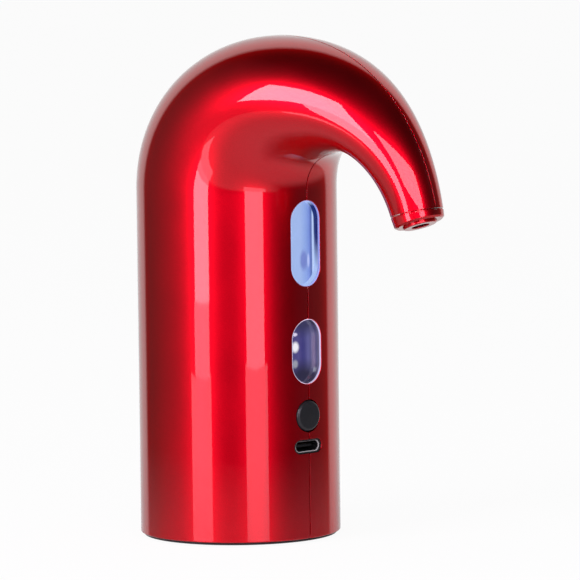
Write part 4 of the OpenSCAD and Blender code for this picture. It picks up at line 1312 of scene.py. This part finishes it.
@dataclass(frozen=True)
class Port:
    """The charging port: a drawn metal shell round a moulded tongue with contacts, in a thin black surround
    that also stands in for shade.

    Attributes:
        z: the height of its middle.
        half_w: half the metal shell's width.
        half_h: half its height.
        metal: its thickness.
        ends: where it starts and ends along X.
        lining: the thickness of the black moulding inside it, which stands in for the shade inside the shell.
        play: the gap between the two.
        lining_set: how far the lining stays behind the shell's front.
        floor: how deep the lining's floor is.
        tongue: half the tongue's width, half its thickness and its front.
        tongue_set: how far the tongue starts in front of the shell's back.
        contact_r: half a contact's width.
        contact_set: how far the contacts stay off the shell's back and the tongue's front.
        contact_rise: how far their middle stands off the tongue.
        contact_step: the distance between two.
        contact_count: how many there are on a side.
        lip: half the height of the opening in the surround's front.
        trim: half the surround's inner and outer height.
        trim_half: half the length of its straights.
        trim_ends: its inner and outer radius about the body's axis.
        trim_gap: the gap between the shell's front and the surround's lip.
        backing: the thickness of the plate behind the surround.
        backing_reach: the plate's inner and outer edge, off the shell.
        shell_rounds: the rounds at the shell's corners.
        tongue_rounds: the rounds at the tongue's corners.
        fine_round: the round on the lining and the contacts.
        trim_round: the round on the surround.
        backing_round: the round on the plate.
    """

    z: float = 25.5
    half_w: float = 4.47
    half_h: float = 1.63
    metal: float = 0.3
    ends: Pair = (19.2, 26.15)
    lining: float = 0.08
    play: float = 0.05
    lining_set: float = 0.2
    floor: float = 1.4
    tongue: Point = (3.3, 0.35, 24.6)
    tongue_set: float = 1.2
    contact_r: float = 0.11
    contact_set: Pair = (2.4, 0.5)
    contact_rise: float = 0.02
    contact_step: float = 0.5
    contact_count: int = 12
    lip: float = 1.5
    trim: Pair = (1.66, 1.86)
    trim_half: float = 3.08
    trim_ends: Pair = (23.2, 26.8)
    trim_gap: float = 0.05
    backing: float = 0.6
    backing_reach: Pair = (0.02, 0.8)
    shell_rounds: Rounds = (0.04, 0.13, 0.13, 0.04)
    tongue_rounds: Rounds = (0.02, 0.2)
    fine_round: float = 0.03
    trim_round: float = 0.04
    backing_round: float = 0.05

    def build(self, metal: Material, plastic: Material, contact: Material) -> None:
        """Carry sections round stadiums for the shell, lining, tongue, contacts and surround.

        Args:
            metal: the shell's finish.
            plastic: the tongue's finish.
            contact: the contacts' finish.
        """
        back, front = self.ends
        inner = self.half_h - self.metal
        outline = Loop.stadium(self.z, self.half_w - self.half_h, 0.0)
        shell = rounded(ring_section(inner, self.half_h, back, front), self.shell_rounds, longest=1.5)
        outline.swept(shell).piece("usb_shell_drawn", "steel", metal, "usb_shell")
        # A black lining inside the shell stands in for the shade there.
        wide, floor, lined = inner - self.play, back + self.floor, front - self.lining_set
        cup = rounded([(0.0, back), (wide, back), (wide, lined), (wide - self.lining, lined),
                       (wide - self.lining, floor), (0.0, floor)], self.fine_round, steps=3, longest=1.5)
        blade_half, blade_r, blade_front = self.tongue
        blade = rounded(solid_section(blade_r, back + self.tongue_set, blade_front), self.tongue_rounds,
                        longest=1.0)
        tongue = Loop.stadium(self.z, blade_half - blade_r, 0.0, arc=8, straight=24).swept(blade)
        Surface.joined([outline.swept(cup), tongue]).piece(
            "usb_tongue_moulded", "black_plastic", plastic, "usb_tongue")
        off_back, off_front = self.contact_set
        strip = rounded(solid_section(self.contact_r, back + off_back, blade_front - off_front),
                        self.fine_round, steps=3, longest=1.5)
        row = [Loop.stadium(self.z + side * (blade_r + self.contact_rise), 0.0, 0.0, arc=4, straight=2)
               .swept(strip) for side in (1, -1)]
        shifts = (np.arange(self.contact_count) - (self.contact_count - 1) / 2) * self.contact_step
        contacts = [Surface(c.points + [0.0, y, 0.0], c.normals, c.faces) for c in row for y in shifts]
        Surface.joined(contacts).piece("usb_contacts", "copper", contact)
        # The black surround also stands in for the shade on the opening's walls.
        (near, far), (low, high) = self.trim, self.trim_ends
        middle, step = (near + far) / 2, front + self.trim_gap
        ring = [(middle, low), (far, low), (far, high), (self.lip, high), (self.lip, step), (near, step),
                (near, low), (middle, low)]
        trim = rounded(ring, self.trim_round, steps=4, longest=1.0)
        surround = Loop.stadium(self.z, self.trim_half, 0.0).swept(trim, True)
        plate = ring_section(*(self.half_h + reach for reach in self.backing_reach), low, low + self.backing)
        backing = outline.swept(rounded(plate, self.backing_round, steps=4, longest=1.0))
        Surface.joined([surround, backing]).piece("port_surround", "black_plastic", plastic)


@dataclass(frozen=True)
class Nozzle:
    """The collar at the spout's end and the nozzle tube, which leans further out than the spout.

    Attributes:
        tip: the middle of the spout's end.
        lean: the spout's lean there, in degrees.
        tilt: the tube's lean beyond it.
        groove: the width of the groove over the collar.
        top: a radius amid the collar's top, and its outer radius.
        skirt: the collar's lower corners as radius and length from the tip.
        spigot: the spigot's inner and outer radius, start and end.
        land: the same for the land in the groove.
        shear_end: the length at which the collar's slant has faded out.
        tube: the corners of the tube's outside as radius and length.
        tube_end: the same for the narrow end of its inside.
        bore: the bore's radius.
        bore_start: the length at which it narrows.
        mouth: the length at which it opens.
        fade: the stretch over which the bore's painted shade grows dark.
        mark_play: how far outside the bore a point still counts as inside it.
        collar_rounds: the rounds at the collar's corners.
        tube_rounds: the rounds at the tube's corners.
        spigot_round: the round on the spigot, and likewise on the land.
    """

    tip: Point = (68.2, 0.0, 90.1)
    lean: float = 13.5
    tilt: float = 6.5
    groove: float = 0.3
    top: Pair = (5.5, 7.0)
    skirt: tuple[Pair, ...] = ((6.735, 2.55), (6.15, 3.0), (4.6, 3.0))
    spigot: tuple[float, ...] = (3.9, 4.4, -4.0, 0.9)
    land: tuple[float, ...] = (4.3, 6.85, 0.06, 0.27)
    shear_end: float = 2.4
    tube: tuple[Pair, ...] = ((1.6, -9.4), (1.95, -9.4), (1.95, -6.0), (3.3, -6.0), (3.3, 1.15), (4.5, 1.15))
    tube_end: tuple[Pair, ...] = ((1.25, -3.5), (1.25, -9.4), (1.6, -9.4))
    bore: float = 2.3
    bore_start: float = -2.0
    mouth: float = 3.7
    fade: float = 0.4
    mark_play: float = 0.1
    collar_rounds: Rounds = (0.12, 0.25, 0.25, 0.1, 0.05)
    tube_rounds: Rounds = (0.1, 0.1, 0.1, 0.1, 0.1, 0.32, 0.32, 0.3, 0.3, 0.1)
    spigot_round: float = 0.1
    land_round: float = 0.03

    def axis(self, tilt: float) -> Array:
        """The unit direction out of the spout, at a tilt in degrees beyond the spout's own lean."""
        a = np.radians(self.lean + tilt)
        return np.array([np.sin(a), 0.0, -np.cos(a)])

    def turned(self, tilt: float, corners: list[Pair], radii: Rounds) -> tuple[Surface, Array, Array]:
        """Turn a profile of radius and length about an axis through the spout's end.

        Args:
            tilt: the axis' lean beyond the spout's own, in degrees.
            corners: the profile.
            radii: the rounds at its corners.
        Returns:
            The closed surface, its points' lengths along the axis and their offsets from it.
        """
        n = self.axis(tilt)
        made = Loop.circle(self.tip, n).swept(rounded(corners, radii, steps=6, longest=0.8))
        off = made.points - np.array(self.tip)
        h = off @ n
        return made, h, off - np.outer(h, n)

    def collar(self) -> Surface:
        """The collar's outside, whose top lies on a plane square to the spout's axis.

        It is turned about the tube's axis n first. A point at height h then moves along n by w(h) times the
        parting plane's height above the turned top there, where w falls from 1 at the top to 0 near the rim.

        Returns:
            The closed ring.
        """
        g, n, s = self.groove, self.axis(self.tilt), self.axis(0.0)
        middle, wide = self.top
        corners = [(middle, g), (wide, g), *self.skirt, (self.skirt[-1][0], g), (middle, g)]
        made, h, off = self.turned(self.tilt, corners, self.collar_rounds)
        lift = (g - off @ s) / (n @ s) - g
        made.points += np.outer(np.clip((self.shear_end - h) / (self.shear_end - g), 0, 1) * lift, n)
        return made

    def build(self, paint: Material) -> None:
        """Make the collar, with its spigot and the land in its groove, and the tube, whose bore is marked for
        painted shade.

        Args:
            paint: their finish.
        """
        rings = ((self.spigot, self.spigot_round), (self.land, self.land_round))
        spigot, land = (self.turned(0.0, ring_section(*section), radius)[0] for section, radius in rings)
        Surface.joined([self.collar(), spigot, land]).piece(
            "nozzle_collar_turned", "paint", paint, "nozzle_collar")
        r, end = self.bore, self.mouth
        corners = [*self.tube, (self.tube[-1][0], end), (r, end), (r, self.bore_start), *self.tube_end]
        made, h, off = self.turned(self.tilt, corners, self.tube_rounds)
        # Painted shade deep in the bore, fading out toward its mouth.
        made.marks = np.clip((end - h) / self.fade, 0, 1) * (np.linalg.norm(off, axis=1) < r + self.mark_play)
        made.piece("nozzle_tube_turned", "paint", paint, "nozzle_insert")


@dataclass(frozen=True)
class Base:
    """The foot ring and the ribbed bottle seal, turned about the body's axis.

    Attributes:
        foot: the foot ring's inner radius, and its outer radius above its lip.
        foot_top: its height.
        lip: the lip's outer radius and its height.
        core_r: the seal's inner radius.
        skin_r: its outer radius between the ribs.
        rib_r: the ribs' outer radius.
        seal: the heights of its lower and upper end.
        taper: the thickness of its lower end, and the height over which it widens.
        ribs: the heights of the ribs' middles.
        rib_half: half a rib's height at its root and at its edge.
        foot_rounds: the rounds at the foot ring's corners.
        seal_round: the round on the seal.
    """

    foot: Pair = (19.8, 24.0)
    foot_top: float = 1.7
    lip: Pair = (26.0, 0.4)
    core_r: float = 7.25
    skin_r: float = 8.35
    rib_r: float = 9.5
    seal: Pair = (3.25, 22.45)
    taper: Pair = (0.55, 2.4)
    ribs: tuple[float, ...] = (7.85, 13.75, 19.65)
    rib_half: Pair = (1.6, 0.7)
    foot_rounds: Rounds = (0.12, 0.12, 0.05, 0.1, 0.1, 0.3)
    seal_round: float = 0.3

    def build(self, rubber: Material, silicone: Material) -> None:
        """Profiles of radius and height turned about Z.

        Args:
            rubber: the foot's finish.
            silicone: the seal's finish.
        """
        loop = Loop.circle((0.0, 0.0, 0.0), (0.0, 0.0, 1.0), count=128)
        (near, far), (wide, thick), top = self.foot, self.lip, self.foot_top
        middle = (near + far) / 2
        ring = [(middle, 0.0), (wide, 0.0), (wide, thick), (far, thick), (far, top), (near, top), (near, 0.0),
                (middle, 0.0)]
        loop.swept(rounded(ring, self.foot_rounds, steps=6, longest=1.0)).piece(
            "foot_ring_turned", "foot_rubber", rubber, "foot_ring")
        (low, high), (thin, rise), (foot, flat) = self.seal, self.taper, self.rib_half
        core, skin, rib = self.core_r, self.skin_r, self.rib_r
        start = (core, (low + high) / 2)
        ribs = [corner for z in self.ribs
                for corner in ((skin, z - foot), (rib, z - flat), (rib, z + flat), (skin, z + foot))]
        section = [start, (core, low), (core + thin, low), (skin, low + rise), *ribs, (skin, high),
                   (core, high), start]
        loop.swept(rounded(section, self.seal_round, longest=1.0)).piece(
            "bottle_seal_turned", "silicone", silicone, "bottle_seal")


SILICONE = Moulding("food_silicone", (0.72, 0.72, 0.70), 0.38, 0.006, 1400.0, 0.1, 0.25)


@dataclass(frozen=True)
class Insides:
    """Finishes of the frame's own nodes, each with the nodes that have it."""

    finishes: tuple[tuple[Finish, str], ...] = (
        (Moulding("satin_grey_moulding", (0.26, 0.27, 0.29), 0.45),
         "stopper_core manifold chassis top_clamp switch_body valve_plate"),
        (Moulding("matt_black_moulding", (0.022, 0.022, 0.024), 0.42),
         "base_cover board_chips motor_end_cap crankcase pump_head"),
        (Moulding("black_rubber", (0.016, 0.016, 0.017), 0.7, 0.02, 1800.0, 0.2),
         "air_valve pump_pad diaphragm valve_flaps"),
        (SILICONE, "manifold_gasket wine_hose_lower wine_hose_upper air_hose"),
        (Moulding("white_moulding", (0.80, 0.80, 0.82), 0.4), "switch_stem wobble_plate"),
        (Metal("bright_steel", (0.62, 0.63, 0.65), 0.26),
         "base_screws manifold_screws board_screws chassis_screws clamp_screws aeration_jet motor_screws "
         "motor_shaft eccentric pump_screws"),
        (Metal("pressed_steel", (0.50, 0.51, 0.53), 0.36, (1.0, 1.0, 0.02)), "motor_can armature_core"),
        (Metal("contact_copper", (0.72, 0.40, 0.20), 0.3), "motor_contacts commutator"),
        (Metal("sintered_bronze", (0.50, 0.35, 0.18), 0.5, (1.0, 1.0, 1.0), 3600.0), "motor_bushes"),
        (Winding("enamelled_winding", (0.62, 0.25, 0.09)), "armature_windings"),
        (Moulding("ferrite", (0.075, 0.075, 0.08), 0.6, 0.02, 2200.0), "motor_magnets"),
        (Moulding("cell_wrap", (0.03, 0.10, 0.36), 0.22, 0.004, 700.0), "cell"),
        (Moulding("lead_skin", (0.45, 0.02, 0.02), 0.4, 0.006, 1500.0), "leads"),
        (ClearPlastic("chamber_plastic"), "aeration_chamber"),
        (CircuitBoard(), "light_board main_board"),
        (LAMP_LIGHT, "light_leds sight_led"),
        (BEZEL_LIGHT, "sight_bezel"),
        (DIFFUSER_LIGHT, "light_diffuser"),
        (BOX_LIGHT, "light_box"))

    def build(self) -> None:
        """Dress the nodes that keep their own mesh."""
        for finish, names in self.finishes:
            material = finish.material()
            for name in names.split():
                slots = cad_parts[name].data.materials
                slots.clear()
                slots.append(material)
            LOG.info("%s on %s", finish.name, names)


# Studio

@dataclass(frozen=True)
class Panel:
    """A soft light panel that stands upright and faces the object.

    Attributes:
        name: its name.
        sweep: where it starts and ends to the camera's right, seen from the object, in degrees.
        heights: its lower and upper edge in metres.
        radiance: its brightness.
        tint: its colour.
        far: its distance in metres.
    """

    name: str
    sweep: Pair
    heights: Pair
    radiance: float
    tint: Colour = (0.94, 0.86, 1.0)
    far: float = 0.9


@dataclass(frozen=True)
class Studio:
    """Camera, floor, soft lights and the white surroundings.

    Attributes:
        turn: the camera's turn from +X toward -Y, in degrees.
        rise: its height angle, in degrees.
        roll: its roll, in degrees.
        focal: its focal length as a share of the frame's width.
        sensor: the sensor's width in millimetres.
        clip: the nearest and farthest distance that it sees, in metres.
        distance: how far it stands from what it looks at, in metres.
        aim: the sideways offset and the height of what it looks at, in metres.
        panels: the lights.
        backdrop: the backdrop's turn to the camera's right, in degrees.
        backdrop_edge: the cosines between which it comes in.
        room: how bright the dim side of the room looks in gloss.
        fills: the turns of the room's paler sides, the cosine at which each fades out, and its brightness.
        ground: how bright the ground looks in gloss.
        grounds: for each part of the ground, its middle's turn, and the heights and the cosines between which
            it comes in.
        table: the table's height, the distance of its middle and its radius, in metres.
        table_core: its first ring's radius.
        table_grid: the number of its rings and of the points on one.
        table_tones: its darkest and lightest tone.
        table_blotches: how many changes of tone there are to the metre.
        table_glow: how much of its white to the eye is its own light.
        near_table: how much of the table shows in gloss close to the object.
        near_fade: the distances between which that fades out.
        ambient: the soft light from all round on dull surfaces.
    """

    turn: float = 43.951
    rise: float = 5.528
    roll: float = -0.684
    focal: float = 5565.4 / 580.0
    sensor: float = 36.0
    clip: Pair = (0.01, 20.0)
    distance: float = 1.5
    aim: Pair = (0.014067, 0.065554)
    panels: tuple[Panel, ...] = (
        Panel("left_main", (-49.0, -32.0), (-0.022, 0.32), 5.6),
        Panel("left_top", (-67.0, -32.0), (0.32, 0.88), 7.8),
        Panel("left_low", (-50.0, -32.5), (-0.054, -0.022), 2.8),
        Panel("left_foot", (-55.0, -31.0), (-0.13, -0.054), 1.9),
        Panel("right_main", (9.5, 30.0), (-0.05, 0.29), 3.2),
        Panel("right_top", (-20.0, 30.0), (0.29, 0.68), 4.6),
        Panel("right_foot", (8.0, 33.0), (-0.13, -0.05), 1.7))
    backdrop: float = 176.0
    backdrop_edge: Pair = (0.588, 0.669)
    room: float = 0.015
    fills: tuple[Point, ...] = ((-85.0, 0.3, 0.14), (112.0, 0.6, 0.09))
    ground: float = 0.42
    grounds: tuple[tuple[float, Pair, Pair], ...] = ((-30.0, (-0.139, -0.174), (0.05, 0.35)),
                                                     (60.0, (-0.25, -0.45), (0.0, 0.3)))
    table: Point = (-0.0004, 1.6, 1.797)
    table_core: float = 0.01
    table_grid: tuple[int, int] = (12, 160)
    table_tones: Pair = (0.80, 0.84)
    table_blotches: float = 6.0
    table_glow: float = 0.94
    near_table: float = 0.35
    near_fade: Pair = (0.03, 0.22)
    ambient: float = 0.45

    def axes(self) -> tuple[Vector, Vector, Vector]:
        """Directions to the camera, to its right, and level toward it.

        Returns:
            The back, right and level directions.
        """
        t, e = np.radians([self.turn, self.rise])
        back = Vector((np.cos(t) * np.cos(e), -np.sin(t) * np.cos(e), np.sin(e)))
        return back, Vector((np.sin(t), np.cos(t), 0.0)), Vector((np.cos(t), -np.sin(t), 0.0))

    def toward(self, angle: float) -> Vector:
        """The level direction at an angle to the camera's right, in degrees."""
        _, right, level = self.axes()
        return level * np.cos(np.radians(angle)) + right * np.sin(np.radians(angle))

    def camera(self) -> None:
        """Place the camera at the photograph's view."""
        back, right, _ = self.axes()
        up = back.cross(right)
        r = np.radians(self.roll)
        x, y = right * np.cos(r) + up * np.sin(r), up * np.cos(r) - right * np.sin(r)
        spot = right * self.aim[0] + Vector((0.0, 0.0, self.aim[1])) + back * self.distance
        data = bpy.data.cameras.new("camera")
        data.sensor_width = self.sensor
        data.lens = self.sensor * self.focal
        data.clip_start, data.clip_end = self.clip
        made = added("camera", data)
        made.matrix_world = Matrix([(*way, 0.0) for way in (x, y, back)] + [(*spot, 1.0)]).transposed()
        bpy.context.scene.camera = made

    def light(self, panel: Panel) -> None:
        """Set up one panel.

        Args:
            panel: its place, size and brightness.
        """
        start, end = np.radians(panel.sweep)
        low, high = panel.heights
        way = self.toward(sum(panel.sweep) / 2)
        data = bpy.data.lights.new(panel.name, "AREA")
        data.shape = "RECTANGLE"
        data.size, data.size_y = 2 * panel.far * np.tan((end - start) / 2), high - low
        data.energy = panel.radiance * np.pi * data.size * data.size_y
        data.color = panel.tint
        made = added(panel.name, data)
        made.location = way * panel.far + Vector((0.0, 0.0, (low + high) / 2))
        made.rotation_euler = (-way).to_track_quat("-Z", "Y").to_euler()
        made.visible_camera = False

    def table_finish(self) -> Material:
        """A pale table, white to the eye, which keeps a faint shadow.

        In gloss it shows close to the object only, with the world's ground further out. From below it is
        clear.

        Returns:
            The material.
        """
        white = bpy.data.materials.new("table_white")
        g = Graph(white)
        pale = g.tones(g.noise(self.table_blotches), *((tone, tone, tone) for tone in self.table_tones))
        diffuse = g.node("ShaderNodeBsdfDiffuse", inputs={"Color": pale}).outputs[0]
        glow = g.node("ShaderNodeEmission", inputs={"Color": WHITE, "Strength": 1.0}).outputs[0]
        path = g.node("ShaderNodeLightPath").outputs
        seen = g.math("MAXIMUM", path["Is Camera Ray"], path["Is Transmission Ray"])
        plain = g.mixed(g.math("MULTIPLY", seen, self.table_glow), diffuse, glow)
        near = g.fit(g.length(g.place), *self.near_fade, self.near_table, 0.0)
        clear = g.node("ShaderNodeBsdfTransparent").outputs[0]
        under = g.node("ShaderNodeNewGeometry").outputs["Backfacing"]
        shown = g.mixed(path["Is Glossy Ray"], plain, g.mixed(near, clear, plain))
        g.link(g.mixed(under, shown, clear), g.output)
        return white

    def floor(self) -> None:
        """A flat round table top that the object stands on, as rings of growing radius."""
        height, far, radius = self.table
        rows, cols = self.table_grid
        middle = self.toward(180.0) * far
        r, t = np.meshgrid(np.linspace(self.table_core, radius, rows),
                           np.linspace(0, 2 * np.pi, cols, endpoint=False), indexing="ij")
        points = np.stack([middle.x + r * np.cos(t), middle.y + r * np.sin(t), 0 * r + height], axis=-1)
        mesh = bpy.data.meshes.new("table_top")
        faces = grid_quads(rows, cols, True)[:, ::-1].tolist() + [list(range(cols))]
        mesh.from_pydata(points.reshape(-1, 3).tolist(), [], faces)
        mesh.materials.append(self.table_finish())
        made = added("table_top", mesh)
        made.visible_shadow = False

    def world(self) -> None:
        """White all round to the eye; in gloss, a white backdrop and pale ground in a dim room."""
        made = bpy.data.worlds.new("studio")
        bpy.context.scene.world = made
        g = Graph(made)

        def facing(turn: float) -> Socket:
            """How squarely a direction faces a turn to the camera's right."""
            return g.vector("DOT_PRODUCT", g.place, tuple(self.toward(turn))).outputs["Value"]

        level = g.fit(facing(self.backdrop), *self.backdrop_edge, self.room, 1.0)
        for turn, fade, bright in self.fills:
            level = g.math("MAXIMUM", level, g.fit(facing(turn), fade, 1.0, 0.0, bright))
        for turn, heights, fade in self.grounds:
            low = g.fit(g.axis("Z"), *heights, 0.0, self.ground)
            level = g.math("MAXIMUM", level, g.math("MULTIPLY", low, g.fit(facing(turn), *fade)))
        gloss, dull, white = (
            g.node("ShaderNodeBackground", inputs={"Color": WHITE, "Strength": strength}).outputs[0]
            for strength in (level, self.ambient, 1.0))
        path = g.node("ShaderNodeLightPath").outputs
        g.link(g.mixed(path["Is Camera Ray"], g.mixed(path["Is Diffuse Ray"], gloss, dull), white), g.output)

    def build(self) -> None:
        """Set up the camera, the floor, the world and the lights."""
        self.camera()
        self.floor()
        self.world()
        for panel in self.panels:
            self.light(panel)
        bpy.context.scene.view_settings.view_transform = "Standard"
        LOG.info("studio ready")


def main() -> None:
    """Build and dress every piece."""
    Studio().build()
    Insides().build()
    paint = CandyLacquer().material()
    Body().build(paint)
    Nozzle().build(paint)
    Window("light_window", 79.8, 23.0, ClearPlastic("light_lens", (0.46, 0.36, 0.72), 0.4)).build()
    Window("sight_window", 50.9, 17.4, ClearPlastic("sight_lens", (0.74, 0.66, 0.90), 0.8)).build()
    SightGuide().build(SIGHT_LIGHT.material())
    Button().build(Moulding("button_charcoal", (0.013, 0.0135, 0.016), 0.34, 0.004, 3200.0).material())
    Port().build(Moulding("port_tinned_steel", (0.46, 0.45, 0.44), 0.3, 0.004).material(),
                 Moulding("port_black", (0.010, 0.010, 0.011), 0.3).material(),
                 Metal("contact_plating", (0.20, 0.16, 0.11), 0.3).material())
    Base().build(Moulding("foot_rubber", (0.014, 0.014, 0.015), 0.7, 0.02, 1800.0, 0.2).material(),
                 SILICONE.material())


if __name__ == "__main__":
    main()
